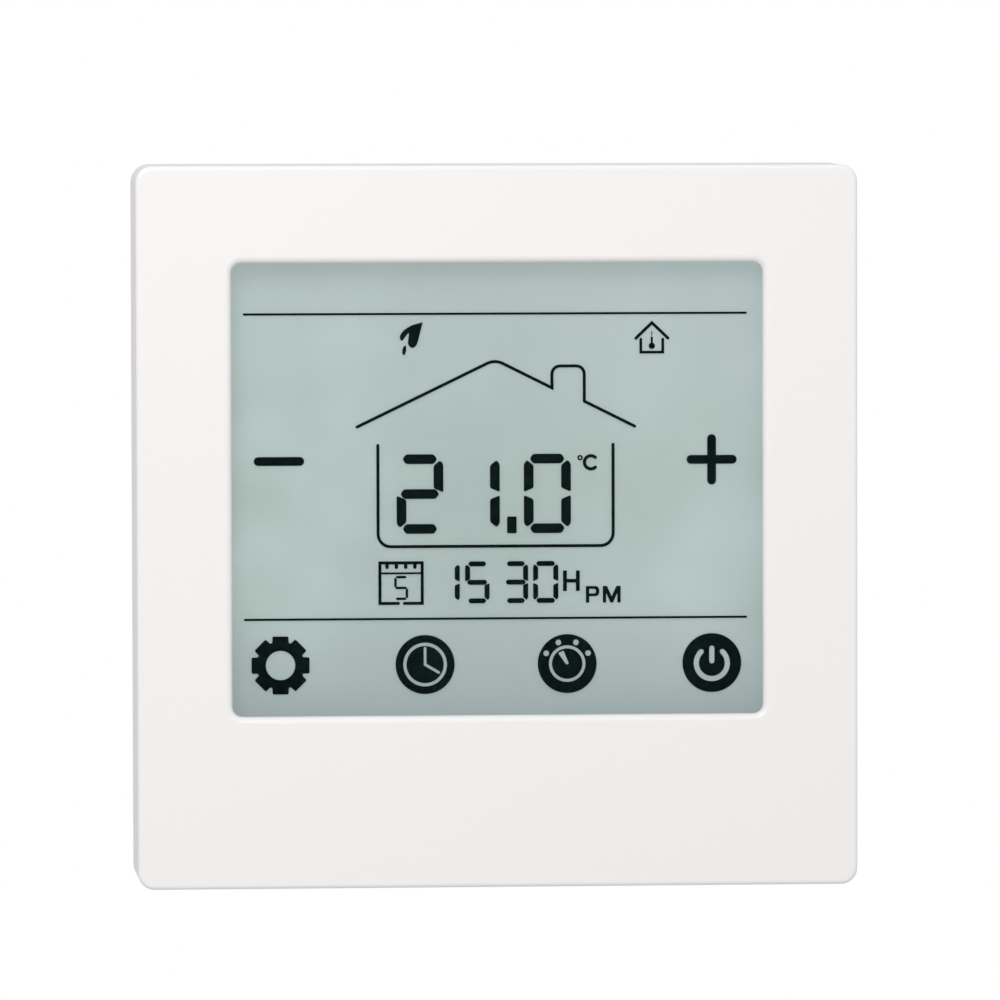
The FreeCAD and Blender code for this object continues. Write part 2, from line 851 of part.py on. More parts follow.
def leaded_chip(name, wide, tall, x, z, leads_along_z, leads_along_x=0):
    """Flat chip on the back of the control board with a row of leads along its sides."""
    stand_off = d.touch_gap * 4
    package = block(
        f"{name}_package", wide, d.chip_height, tall, x, board_back - d.chip_height - stand_off, z
    )
    leads = []
    for side in (-1, 1):
        for i, along in enumerate(spread(leads_along_z, d.lead_pitch)):
            leads.append(
                block(
                    f"{name}_lead{i}",
                    d.lead_reach * 2,
                    d.lead_height,
                    d.lead_width,
                    x + wide / 2 * side,
                    board_back - d.lead_height,
                    z + along,
                )
            )
        for i, along in enumerate(spread(leads_along_x, d.lead_pitch)):
            leads.append(
                block(
                    f"{name}_end_lead{i}",
                    d.lead_width,
                    d.lead_height,
                    d.lead_reach * 2,
                    x + along,
                    board_back - d.lead_height,
                    z + tall / 2 * side,
                )
            )
    return fuse(name, package, *leads)


def make_cell_clip():
    """Strap over the backup cell, soldered to the board at both feet."""
    reach = d.cell_radius + d.fit_gap + d.clip_thickness
    cell_out = board_back - d.end_gap - d.cell_height
    strap_out = cell_out - d.touch_gap - d.clip_thickness
    strap = block("clip_strap", reach * 2, d.clip_thickness, d.clip_strip, d.cell_x, strap_out, d.cell_z)
    feet = [
        block(
            "clip_foot",
            d.clip_thickness,
            board_back - strap_out,
            d.clip_strip,
            d.cell_x + (reach - d.clip_thickness / 2) * side,
            strap_out,
            d.cell_z,
        )
        for side in (-1, 1)
    ]
    return fuse("cell_clip", strap, *feet)


def make_room_sensor():
    """Bead on two leads at the lower edge of the board, in the air drawn through the vents."""
    z = d.post_inset / 2 - control_height / 2
    x = d.sounder_size
    bead = doc.addObject("Part::Sphere", "sensor_bead")
    bind(bead, "Radius", d.sensor_radius)
    out = board_back - d.sensor_stand_off
    put(bead, x, out, z)
    leads = [
        rod("sensor_wire", d.sensor_lead, d.sensor_stand_off, x + d.sensor_radius * 0.5 * side, out, z)
        for side in (-1, 1)
    ]
    return fuse("room_sensor", bead, *leads)


def header_pins():
    pins = []
    low = board_back - d.header_height - d.pin_reach
    for i, x in enumerate(spread(PINS, d.pin_pitch)):
        pins.append(block(f"pin{i}", d.pin_width, board_back - low, d.pin_width, x, low))
    return group("header_pins", pins)


def make_control_parts():
    pins = header_pins()
    housing = block(
        "header_housing", header_length, d.header_height, d.header_width, out=board_back - d.header_height
    )
    cell_out = board_back - d.end_gap - d.cell_height
    crystal_out = board_back - d.crystal_radius - d.touch_gap
    sounder_out = board_back - d.sounder_height
    sounder = block(
        "sounder_case", d.sounder_size, d.sounder_height, d.sounder_size, -d.cell_x, sounder_out, d.cell_z
    )
    hole = rod("sounder_port", d.sounder_hole, d.sounder_height / 2, -d.cell_x, sounder_out, d.cell_z)
    small = [
        block(
            f"small{i}_{k}",
            d.small_part_length,
            d.small_part_height,
            d.small_part_width,
            x,
            board_back - d.small_part_height,
            d.cell_z + z,
        )
        for i, x in enumerate(spread(6, d.small_part_pitch))
        for k, z in enumerate(spread(4, d.small_part_pitch))
    ]
    return [
        make_control_board(),
        leaded_chip(
            "microcontroller",
            d.controller_size,
            d.controller_size,
            d.controller_x,
            d.controller_z,
            LEADS_PER_SIDE,
            LEADS_PER_SIDE,
        ),
        leaded_chip("lcd_driver", d.driver_width, d.driver_length, d.driver_x, d.driver_z, LEADS_PER_SIDE),
        rod(
            "crystal",
            d.crystal_radius,
            d.crystal_length,
            d.controller_x - d.crystal_length / 2,
            crystal_out,
            d.controller_z - d.controller_size / 2 - d.crystal_radius * 4,
            TOWARDS_RIGHT,
        ),
        rod("backup_cell", d.cell_radius, d.cell_height, d.cell_x, cell_out, d.cell_z),
        make_cell_clip(),
        cut("sounder", sounder, hole),
        make_room_sensor(),
        group("small_parts", small),
        cut("pin_header", housing, pins),
        pins,
    ]


# ---------------------------------------------------------------- fixed in the wall: plate and box
def make_wall_plate():
    body = new_body("wall_plate")
    outline = sketch_at(body)
    draw_rectangle(outline, plate_width, plate_height, corner=d.plate_corner)
    pad(body, outline, d.plate_thickness)

    openings = sketch_at(body)
    for side in (-1, 1):
        spot = d.wall_screw_spacing / 2 * side
        draw_slot(openings, d.wall_slot_width, d.wall_slot_length, spot)
        draw_rectangle(
            openings,
            d.plate_vent_width,
            d.plate_vent_height,
            z=d.plate_vent_spacing / 2 * side,
            corner=d.plate_vent_corner,
        )
    draw_rectangle(openings, header_length + d.slide_gap * 2, d.header_width + d.slide_gap * 2)
    for x, z in mirrored_corners(box_screw_at, box_screw_at):
        draw_circle(openings, d.box_screw_radius + d.fit_gap, x, z)
    for x, z in mirrored_corners(d.tab_spacing / 2, plate_height / 2):
        for side in (-1, 1):
            relief_x = x + (d.tab_width + d.tab_relief) / 2 * side
            draw_rectangle(openings, d.tab_relief, d.tab_relief_depth * 2, relief_x, z)
    pocket(body, openings)

    tabs = sketch_at(body)
    for x, z in mirrored_corners(d.tab_spacing / 2, tab_z):
        draw_rectangle(tabs, d.tab_width, d.plate_thickness, x, z)
    pad(body, tabs, d.plate_thickness + d.tab_height)

    def bend_at(out, height):
        def wanted(edge):
            box = edge.BoundBox
            right_length = abs(edge.Length - float(d.tab_width)) < 1e-3
            right_height = abs(abs(box.ZMin) - float(height)) < 1e-3 and box.ZLength < 1e-3
            return lies_out(edge, out) and right_length and right_height

        return wanted

    inner = plate_height / 2 - d.plate_thickness
    dress(body, "Fillet", d.tab_bend, bend_at(d.plate_thickness, inner))
    dress(body, "Fillet", d.tab_bend + d.plate_thickness * 0.9, bend_at(ZERO, plate_height / 2))
    hole_length = 2 * math.pi * float(d.box_screw_radius + d.fit_gap)

    def on_hole(edge):
        return lies_out(edge, d.plate_thickness) and abs(edge.Length - hole_length) < 1e-3

    dress(body, "Chamfer", d.box_screw_head - d.box_screw_radius, on_hole)
    return body


def make_box_screws():
    return countersunk_screws(
        "box_screws",
        mirrored_corners(box_screw_at, box_screw_at),
        d.box_screw_radius,
        d.box_screw_head,
        d.box_screw_length,
        d.plate_thickness,
        towards_wall=True,
    )


# where the terminal block and its ways lie
block_low = d.block_inset - d.box_height / 2
block_high = block_low + d.block_depth
block_width = d.way_pitch * WAYS + d.block_end_wall * 2
shelf_out = d.step_depth - d.box_depth
block_out = shelf_out - d.block_proud
head_out = block_out + d.head_sink
seat_out = head_out + d.terminal_head_height
chamber_out = seat_out + d.shelf_thickness
cage_out = chamber_out + d.end_gap + d.cage_travel
cage_front = cage_out + d.cage_height
chamber_low = block_low + d.entry_wall
way_z = chamber_low + d.fit_gap + d.cage_length / 2
step_z = block_high + d.step_wall_gap
tongue_out = cage_out + d.cage_end_wall + d.end_gap
tongue_front = tongue_out + d.tongue_thickness
leg_z = way_z + d.cage_length / 2 + d.fit_gap + d.tongue_thickness / 2


def make_power_box():
    body = new_body("power_box")
    outline = sketch_at(body, -d.box_depth)
    draw_rectangle(outline, d.box_width, d.box_height, corner=d.box_corner)
    pad(body, outline, d.box_depth)

    step = sketch_at(body, -d.box_depth)
    step_height = step_z + d.box_height / 2
    draw_rectangle(step, d.box_width * 2, step_height, z=step_z - step_height / 2)
    pocket(body, step, d.step_depth)
    dress(body, "Fillet", d.box_round, lambda e: lies_out(e, -d.box_depth) or lies_out(e, shelf_out))

    corner = d.box_corner - d.box_wall
    deep = sketch_at(body, d.box_wall - d.box_depth)
    deep_low = step_z + d.box_wall
    deep_high = box_inside_height / 2
    draw_rectangle(
        deep, box_inside_width, deep_high - deep_low, z=(deep_high + deep_low) / 2, corner=corner
    )
    pocket(body, deep, d.box_depth - d.box_wall)
    shallow = sketch_at(body, shelf_out + d.box_wall)
    draw_rectangle(shallow, box_inside_width, box_inside_height, corner=corner)
    pocket(body, shallow, -shelf_out - d.box_wall)

    bosses = sketch_at(body, -d.box_boss_depth)
    for x, z in mirrored_corners(box_screw_at, box_screw_at):
        draw_circle(bosses, d.box_boss_radius, x, z)
    pad(body, bosses, d.box_boss_depth)
    pilots = sketch_at(body, d.plate_thickness - d.box_screw_length - d.end_gap)
    for x, z in mirrored_corners(box_screw_at, box_screw_at):
        draw_circle(pilots, d.box_screw_radius + d.thread_gap, x, z)
    pocket(body, pilots, d.box_screw_length)

    rails = sketch_at(body, d.box_wall - d.box_depth)
    rail_x = (box_inside_width - d.rail_size) / 2
    for x, z in mirrored_corners(rail_x, d.rail_spacing / 2):
        draw_rectangle(rails, d.rail_size, d.rail_size, x, z)
    pad(body, rails, power_back + d.box_depth - d.box_wall)

    mouth = sketch_at(body, shelf_out)
    mouth_height = block_high + d.fit_gap + d.box_height / 2 + d.box_wall
    mouth_z = block_high + d.fit_gap - mouth_height / 2
    draw_rectangle(mouth, block_width + d.fit_gap * 2, mouth_height, z=mouth_z)
    pocket(body, mouth, power_back + d.fit_gap - shelf_out)

    vents = sketch_at(body, plane="XY_Plane")
    for x in spread(BOX_VENTS, d.box_vent_pitch):
        draw_slot(vents, d.box_vent_width, d.box_vent_depth, x, d.box_depth / 2, upright=True)
    pocket(body, vents)
    return body


def relay_pin_spots():
    """The relay's four pins, as distances from the relay's middle: coil, coil, moving, fixed."""
    coil_u = yoke_left + d.relay_pin_radius + d.iron_thickness
    return [
        (coil_u, -d.coil_pin_spacing / 2),
        (coil_u, d.coil_pin_spacing / 2),
        (strip_u + d.strip_clear, ZERO),
        (strip_u, ZERO),
    ]


def make_power_board():
    body = new_body("power_board")
    outline = sketch_at(body, power_back)
    draw_rectangle(outline, power_board_width, power_board_height)
    pad(body, outline, d.power_board_thickness)
    openings = sketch_at(body, power_back)
    for x, z in mirrored_corners(power_board_width / 2, power_board_height / 2):
        draw_rectangle(openings, d.power_board_notch * 2, d.power_board_notch * 2, x, z)
    for x in spread(WAYS, d.way_pitch):
        draw_rectangle(
            openings, d.tongue_width + d.fit_gap * 2, d.tongue_thickness + d.fit_gap * 2, x, leg_z
        )
    for u, w in relay_pin_spots():
        draw_circle(openings, d.relay_pin_radius + d.fit_gap, relay_x + u, relay_z + w)
    pocket(body, openings)
    return body


def make_board_socket():
    housing = block("socket_housing", header_length, d.socket_height, d.header_width, out=power_front)
    hole_out = power_front + d.socket_height - d.socket_hole_depth
    holes = [
        block(f"socket_hole{i}", d.socket_hole, d.socket_hole_depth, d.socket_hole, x, hole_out)
        for i, x in enumerate(spread(PINS, d.pin_pitch))
    ]
    return cut("board_socket", housing, *holes)


# ---------------------------------------------------------------- fixed in the wall: terminals
def make_terminal_block():
    middle = (block_low + block_high) / 2
    solid = block("block_solid", block_width, power_back - block_out, d.block_depth, out=block_out, z=middle)
    access_radius = d.terminal_head_radius + d.fit_gap
    bore_radius = d.terminal_screw_radius + d.fit_gap
    chamber_depth = power_back - chamber_out
    chamber_z = chamber_low + d.way_length / 2
    tools = []
    for i, x in enumerate(spread(WAYS, d.way_pitch)):
        tools += [
            block(f"chamber{i}", d.way_width, chamber_depth, d.way_length, x, chamber_out, chamber_z),
            block(
                f"entry{i}",
                d.entry_width,
                cage_front - d.cage_end_wall - tongue_front,
                d.entry_wall * 2,
                x,
                tongue_front,
                chamber_low,
            ),
            rod(f"access{i}", access_radius, seat_out - block_out, x, block_out, way_z),
            rod(f"bore{i}", bore_radius, chamber_out - block_out, x, block_out, way_z),
        ]
    return cut("terminal_block", solid, *tools)


def make_terminal_tongues():
    """Fixed contact plates inside the cages, each with a leg soldered through the power board."""
    tongues = []
    low = way_z - d.cage_length / 2
    leg_front = power_front + d.solder_reach
    for i, x in enumerate(spread(WAYS, d.way_pitch)):
        plate = block(
            f"tongue_plate{i}",
            d.tongue_width,
            d.tongue_thickness,
            leg_z - low,
            x,
            tongue_out,
            (leg_z + low) / 2,
        )
        reach = leg_front - tongue_out
        leg = block(f"tongue_leg{i}", d.tongue_width, reach, d.tongue_thickness, x, tongue_out, leg_z)
        tongues.append(fuse(f"tongue{i}", plate, leg))
    return group("terminal_tongues", tongues)


def make_terminal_screw(number, x):
    name = f"terminal_screw_{number}"
    top = seat_out - d.touch_gap
    head = rod(f"{name}_head", d.terminal_head_radius, top - head_out, x, head_out, way_z)
    shank = rod(f"{name}_shank", d.terminal_screw_radius, tongue_out - d.end_gap - top, x, top, way_z)
    deep = d.terminal_head_height / 2
    slot = block(f"{name}_slot", d.driver_slot, deep, d.terminal_head_radius * 3, x, head_out, way_z)
    return cut(name, fuse(f"{name}_solid", head, shank), slot)


def make_clamp_cage(number, x):
    name = f"clamp_cage_{number}"
    solid = block(f"{name}_solid", d.cage_width, d.cage_height, d.cage_length, x, cage_out, way_z)
    inside = block(
        f"{name}_inside",
        d.cage_width - d.cage_wall * 2,
        d.cage_height - d.cage_end_wall * 2,
        d.cage_length * 2,
        x,
        cage_out + d.cage_end_wall,
        way_z,
    )
    thread_radius = d.terminal_screw_radius + d.thread_gap
    thread_out = cage_out - d.cage_end_wall
    thread = rod(f"{name}_thread", thread_radius, d.cage_end_wall * 3, x, thread_out, way_z)
    return cut(name, solid, inside, thread)


def make_terminals():
    pieces = [make_terminal_block(), make_terminal_tongues()]
    for number, x in enumerate(spread(WAYS, d.way_pitch), start=1):
        pieces += [make_terminal_screw(number, x), make_clamp_cage(number, x)]
    return pieces


# ---------------------------------------------------------------- fixed in the wall: relay
# u runs to the right and w up from the relay's middle, v runs into the wall from the power board
relay_x = d.relay_length / 2 - d.relay_left
relay_z = -d.relay_below
yoke_left = d.relay_wall + d.yoke_end_gap - d.relay_length / 2
former_left = yoke_left + d.iron_thickness + d.touch_gap
former_right = former_left + d.coil_length
pole_face = former_right + d.touch_gap + d.pole_thickness
armature_u = pole_face + d.pole_gap
yoke_v = d.relay_base_height + d.end_gap
hinge_v = yoke_v + d.iron_thickness
coil_v = hinge_v + d.end_gap * 2 + d.flange_radius
leaf_top = hinge_v + d.spring_reach
contact_v = leaf_top - d.contact_radius - d.end_gap
strip_u = armature_u + d.iron_thickness + d.strip_clear


def relay_block(name, u, v, w):
    """Box from its low and high u, v and w."""
    return block(
        name,
        u[1] - u[0],
        v[1] - v[0],
        w[1] - w[0],
        relay_x + (u[0] + u[1]) / 2,
        power_back - v[1],
        relay_z + (w[0] + w[1]) / 2,
    )


def relay_rod(name, radius, u, length):
    """Cylinder on the coil's axis."""
    return rod(name, radius, length, relay_x + u, power_back - coil_v, relay_z, TOWARDS_RIGHT)


def both(size):
    return (-size / 2, size / 2)


def make_relay_case():
    body = new_body("relay_case")
    back = power_back - d.relay_height
    outline = sketch_at(body, back)
    draw_rectangle(outline, d.relay_length, d.relay_width, relay_x, relay_z, d.relay_round)
    pad(body, outline, d.relay_height)
    dress(body, "Fillet", d.relay_round / 2, lambda e: lies_out(e, back))
    cavity = sketch_at(body, back + d.relay_wall)
    draw_rectangle(
        cavity, d.relay_length - d.relay_wall * 2, d.relay_width - d.relay_wall * 2, relay_x, relay_z
    )
    pocket(body, cavity, d.relay_height - d.relay_wall)
    return body


def make_relay_coil():
    tube = relay_rod("former_tube", d.core_radius + d.former_wall, former_left, d.coil_length)
    flanges = [
        relay_rod("former_flange", d.flange_radius, u, d.flange_thickness)
        for u in (former_left, former_right - d.flange_thickness)
    ]
    bore = relay_rod("former_bore", d.core_radius + d.touch_gap, former_left, d.coil_length)
    former = cut("relay_coil_former", fuse("former_solid", tube, *flanges), bore)
    winding_left = former_left + d.flange_thickness
    winding_length = d.coil_length - d.flange_thickness * 2
    copper = relay_rod("copper", d.coil_radius, winding_left, winding_length)
    hole = relay_rod("copper_hole", d.core_radius + d.former_wall, winding_left, winding_length)
    return [former, cut("relay_winding", copper, hole)]


def make_relay_iron():
    """Core with its pole, and the yoke that carries the armature's hinge."""
    upright = relay_block(
        "yoke_upright",
        (yoke_left, yoke_left + d.iron_thickness),
        (yoke_v, coil_v + d.core_radius * 1.5),
        both(d.iron_width),
    )
    foot = relay_block(
        "yoke_foot", (yoke_left, armature_u - d.end_gap), (yoke_v, hinge_v), both(d.iron_width)
    )
    core = relay_rod("core_rod", d.core_radius, yoke_left, pole_face - yoke_left)
    pole = relay_rod("core_pole", d.pole_radius, pole_face - d.pole_thickness, d.pole_thickness)
    return fuse("relay_iron", upright, foot, core, pole)


def make_relay_contacts(pins):
    """Fixed contact on a strip that reaches over the leaf spring, and the relay's pins."""
    face = armature_u + d.iron_thickness - d.contact_thickness - d.contact_gap
    button = rod(
        "fixed_button",
        d.contact_radius,
        d.contact_thickness,
        relay_x + face - d.contact_thickness,
        power_back - contact_v,
        relay_z,
        TOWARDS_RIGHT,
    )
    strip_top = leaf_top + d.end_gap * 3 + d.strip_gauge
    hook_right = face - d.contact_thickness
    half = both(d.spring_width)
    hook_across = (hook_right - d.strip_gauge, hook_right)
    strip = [
        relay_block("strip_hook", hook_across, (contact_v - d.contact_radius, strip_top), half),
        relay_block(
            "strip_top", (hook_right - d.strip_gauge, strip_u), (strip_top - d.strip_gauge, strip_top), half
        ),
        relay_block(
            "strip_upright", (strip_u - d.strip_gauge, strip_u), (d.relay_base_height, strip_top), half
        ),
    ]
    return group("relay_contacts", [fuse("fixed_contact", button, *strip, pins[-1]), *pins[:-1]])


def make_relay_armature():
    """Iron plate hinged at the yoke's end, with the leaf spring and contact button it carries."""
    plate = relay_block(
        "armature_plate",
        (armature_u, armature_u + d.iron_thickness),
        (hinge_v, hinge_v + d.armature_height),
        both(d.iron_width),
    )
    leaf_u = armature_u + d.iron_thickness
    leaf = relay_block(
        "armature_leaf",
        (leaf_u, leaf_u + d.spring_thickness),
        (hinge_v + d.spring_start, leaf_top),
        both(d.spring_width),
    )
    button = rod(
        "moving_button",
        d.contact_radius,
        d.contact_thickness,
        relay_x + leaf_u - d.contact_thickness,
        power_back - contact_v,
        relay_z,
        TOWARDS_RIGHT,
    )
    return group("relay_armature", [plate, leaf, button])


def make_relay():
    pin_front = power_front + d.solder_reach
    pins = [
        rod(
            f"relay_pin{i}",
            d.relay_pin_radius,
            pin_front - power_back + d.relay_base_height + d.strip_gauge,
            relay_x + u,
            power_back - d.relay_base_height - d.strip_gauge,
            relay_z + w,
        )
        for i, (u, w) in enumerate(relay_pin_spots())
    ]
    inset = d.relay_wall + d.end_gap
    base = block(
        "base_solid",
        d.relay_length - inset * 2,
        d.relay_base_height,
        d.relay_width - inset * 2,
        relay_x,
        power_back - d.relay_base_height,
        relay_z,
    )
    holes = [
        rod(
            f"base_hole{i}",
            d.relay_pin_radius,
            d.relay_base_height * 2,
            relay_x + u,
            power_back - d.relay_base_height * 1.5,
            relay_z + w,
        )
        for i, (u, w) in enumerate(relay_pin_spots())
    ]
    return [
        cut("relay_base", base, *holes),
        make_relay_case(),
        *make_relay_coil(),
        make_relay_iron(),
        make_relay_contacts(pins),
        make_relay_armature(),
    ]


# ---------------------------------------------------------------- fixed in the wall: other parts
def make_transformer():
    x, z = d.transformer_x, d.transformer_z
    solid = block("core_solid", d.core_width, d.core_height, d.core_depth, x, power_back - d.core_height, z)
    window = (d.core_width - d.core_leg * 2 - d.core_centre_leg) / 2
    window_height = d.core_height - d.core_leg * 2
    middle = power_back - d.core_height + d.core_leg
    windows = [
        block(
            "core_window",
            window,
            window_height,
            d.core_depth * 2,
            x + (d.core_centre_leg + window) / 2 * side,
            middle,
            z,
        )
        for side in (-1, 1)
    ]
    core = cut("transformer_core", solid, *windows)
    slack = d.end_gap
    winding_out = middle + slack
    winding_length = window_height - slack * 2
    outer = block(
        "winding_outer",
        d.core_centre_leg + (window - slack) * 2,
        winding_length,
        d.core_depth + (window - slack) * 2,
        x,
        winding_out,
        z,
    )
    inner = block(
        "winding_inner",
        d.core_centre_leg + slack * 2,
        winding_length,
        d.core_depth + slack * 2,
        x,
        winding_out,
        z,
    )
    return [core, cut("transformer_winding", outer, inner)]


def make_cans():
    """Two electrolytic capacitors, each a can with a bevelled end."""
    large = (d.large_can_radius, d.large_can_height, d.large_can_x)
    small = (d.small_can_radius, d.small_can_height, d.small_can_x)
    cans = []
    for i, (radius, height, x) in enumerate([large, small]):
        out = power_back - height
        sleeve = rod(f"can_sleeve{i}", radius, height - d.can_round, x, out + d.can_round, d.can_z)
        end = cone(f"can_end{i}", radius - d.can_round, radius, d.can_round, x, out, d.can_z)
        cans.append(fuse(f"can{i}", sleeve, end))
    return group("capacitors", cans)


def make_varistor():
    out = power_back - d.varistor_radius - d.end_gap
    disc = rod(
        "varistor_disc",
        d.varistor_radius,
        d.varistor_thickness,
        d.varistor_x - d.varistor_thickness / 2,
        out,
        d.varistor_z,
        TOWARDS_RIGHT,
    )
    wires = [
        rod(
            "varistor_wire",
            d.wire_radius,
            power_back - out,
            d.varistor_x,
            out,
            d.varistor_z + d.varistor_radius / 2 * side,
        )
        for side in (-1, 1)
    ]
    return fuse("varistor", disc, *wires)


def make_power_parts():
    film_out = power_back - d.film_cap_height
    return [
        *make_transformer(),
        make_cans(),
        block(
            "film_capacitor",
            d.film_cap_length,
            d.film_cap_height,
            d.film_cap_width,
            d.film_cap_x,
            film_out,
            d.film_cap_z,
        ),
        make_varistor(),
        rod("fuse_link", d.fuse_radius, d.fuse_height, d.fuse_x, power_back - d.fuse_height, d.fuse_z),
    ]


# ---------------------------------------------------------------- build, check and write
def finish(pieces):
    doc.recompute()
    failed = [o.Name for o in doc.Objects if {"Invalid", "Error"} & set(o.State)]
    if failed:
        raise RuntimeError(f"these objects failed: {failed}")
    os.makedirs("parts", exist_ok=True)
    for piece in pieces:
        shape = piece.Shape
        if shape.isNull() or not shape.isValid() or not shape.Solids or shape.Volume <= 0:
            raise RuntimeError(f"{piece.Label} is not a sound solid")
        shape.exportStep(f"parts/{piece.Label}.step")
        print(f"{piece.Label}: {len(shape.Solids)} solids, {shape.Volume:.1f} mm3")


finish(
    [
        make_front_frame(),
        make_frame_back(),
        make_cover_screws(),
        *make_display_stack(),
        make_touch_flex(),
        *make_control_parts(),
        make_wall_plate(),
        make_power_box(),
        make_box_screws(),
        make_power_board(),
        make_board_socket(),
        *make_terminals(),
        *make_relay(),
        *make_power_parts(),
    ]
)
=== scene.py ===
import json
import logging
import math
from dataclasses import dataclass, field
from enum import Enum
from typing import Sequence

import bmesh
import bpy
from mathutils import Matrix, Vector
from mathutils.geometry import tessellate_polygon


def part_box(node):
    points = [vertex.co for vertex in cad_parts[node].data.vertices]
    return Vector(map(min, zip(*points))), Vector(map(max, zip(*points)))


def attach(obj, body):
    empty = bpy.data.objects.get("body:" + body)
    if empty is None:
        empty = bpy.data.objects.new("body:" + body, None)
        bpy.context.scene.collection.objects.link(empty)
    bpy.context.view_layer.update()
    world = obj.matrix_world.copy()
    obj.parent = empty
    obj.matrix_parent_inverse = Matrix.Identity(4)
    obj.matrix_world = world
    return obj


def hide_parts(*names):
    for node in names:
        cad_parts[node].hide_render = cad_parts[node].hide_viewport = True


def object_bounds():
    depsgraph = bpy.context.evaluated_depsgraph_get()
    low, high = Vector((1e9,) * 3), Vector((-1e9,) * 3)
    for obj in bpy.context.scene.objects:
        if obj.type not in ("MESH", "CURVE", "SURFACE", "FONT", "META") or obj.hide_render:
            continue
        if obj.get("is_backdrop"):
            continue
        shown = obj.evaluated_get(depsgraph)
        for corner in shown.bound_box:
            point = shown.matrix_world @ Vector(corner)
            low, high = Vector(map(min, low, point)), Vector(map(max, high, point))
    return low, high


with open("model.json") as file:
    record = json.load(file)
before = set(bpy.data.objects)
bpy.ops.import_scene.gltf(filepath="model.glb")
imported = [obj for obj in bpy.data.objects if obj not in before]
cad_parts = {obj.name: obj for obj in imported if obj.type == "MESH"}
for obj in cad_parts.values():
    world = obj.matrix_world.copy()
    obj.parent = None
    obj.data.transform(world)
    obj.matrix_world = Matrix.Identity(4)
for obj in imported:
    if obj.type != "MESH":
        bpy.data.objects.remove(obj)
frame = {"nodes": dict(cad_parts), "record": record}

MM = 0.001
LOG = logging.getLogger("timer")

Point = tuple[float, float]
Loop = list[Point]
Colour = tuple[float, float, float]
Span = tuple[float, float]
Feeds = dict[str | int, object]
Socket = bpy.types.NodeSocket

WHITE: Colour = (1.0, 1.0, 1.0)
BLEND_FIRST, BLEND_SECOND, BLEND_RESULT = 6, 7, 2
COAT_ROUGHNESS = 0.12
CLOUD_SCALE = 40
FINE_SCALE = 0.4
BAND_SCALE = 0.3
SHARP_EDGE = math.radians(40)


# ---------------------------------------------------------------- finishes
class Grain(Enum):
    """How the skin of a material is made up."""

    POLISHED = "polished mould"
    SPARKED = "spark-textured mould"
    SPANGLE = "zinc flakes"
    DRAWN = "drawn metal"
    FOAM = "open foam"
    LAMINATE = "masked board with tracks"
    TAPE = "wound tape"
    FILM = "optical film"
    LAYERED = "layered rubber"


class Nodes:
    """A node tree, with short ways to add nodes and feed their inputs."""

    def __init__(self, tree: bpy.types.NodeTree) -> None:
        """Take a tree over and empty it."""
        self.tree = tree
        self.tree.nodes.clear()

    def feed(self, node: bpy.types.Node, feeds: Feeds) -> None:
        """Feed some of a node's inputs.

        Args:
            node: the node.
            feeds: for each input, an output socket or a plain value.
        """
        for key, source in feeds.items():
            if isinstance(source, Socket):
                self.tree.links.new(source, node.inputs[key])
            else:
                node.inputs[key].default_value = source

    def add(self, kind: str, feeds: Feeds | None = None, **settings: object) -> bpy.types.Node:
        """Add a node and feed its inputs.

        Args:
            kind: the node's type.
            feeds: what each input is fed with.
            settings: properties to set on the node.

        Returns:
            The new node.
        """
        node = self.tree.nodes.new(kind)
        for key, setting in settings.items():
            setattr(node, key, setting)
        self.feed(node, feeds or {})
        return node

    def spread(self, value: Socket, low: float, high: float, start: float = 0.3, end: float = 0.7) -> Socket:
        """Carry a value from one span to another.

        Args:
            value: the value.
            low: the result at the start of the span.
            high: the result at the end of the span.
            start: where the span starts.
            end: where the span ends.

        Returns:
            The carried value.
        """
        feeds = {"Value": value, "From Min": start, "From Max": end, "To Min": low, "To Max": high}
        return self.add("ShaderNodeMapRange", feeds).outputs["Result"]

    def mix(
        self, share: Socket | float, first: Colour | Socket, second: Colour | Socket, way: str = "MIX"
    ) -> Socket:
        """Blend two colours.

        Args:
            share: how much of the second colour shows, from 0 to 1.
            first: a colour or a socket.
            second: a colour or a socket.
            way: how they are blended.

        Returns:
            The blended colour.
        """
        one, two = (given if isinstance(given, Socket) else (*given, 1.0) for given in (first, second))
        feeds = {"Factor": share, BLEND_FIRST: one, BLEND_SECOND: two}
        node = self.add("ShaderNodeMix", feeds, data_type="RGBA", blend_type=way)
        return node.outputs[BLEND_RESULT]


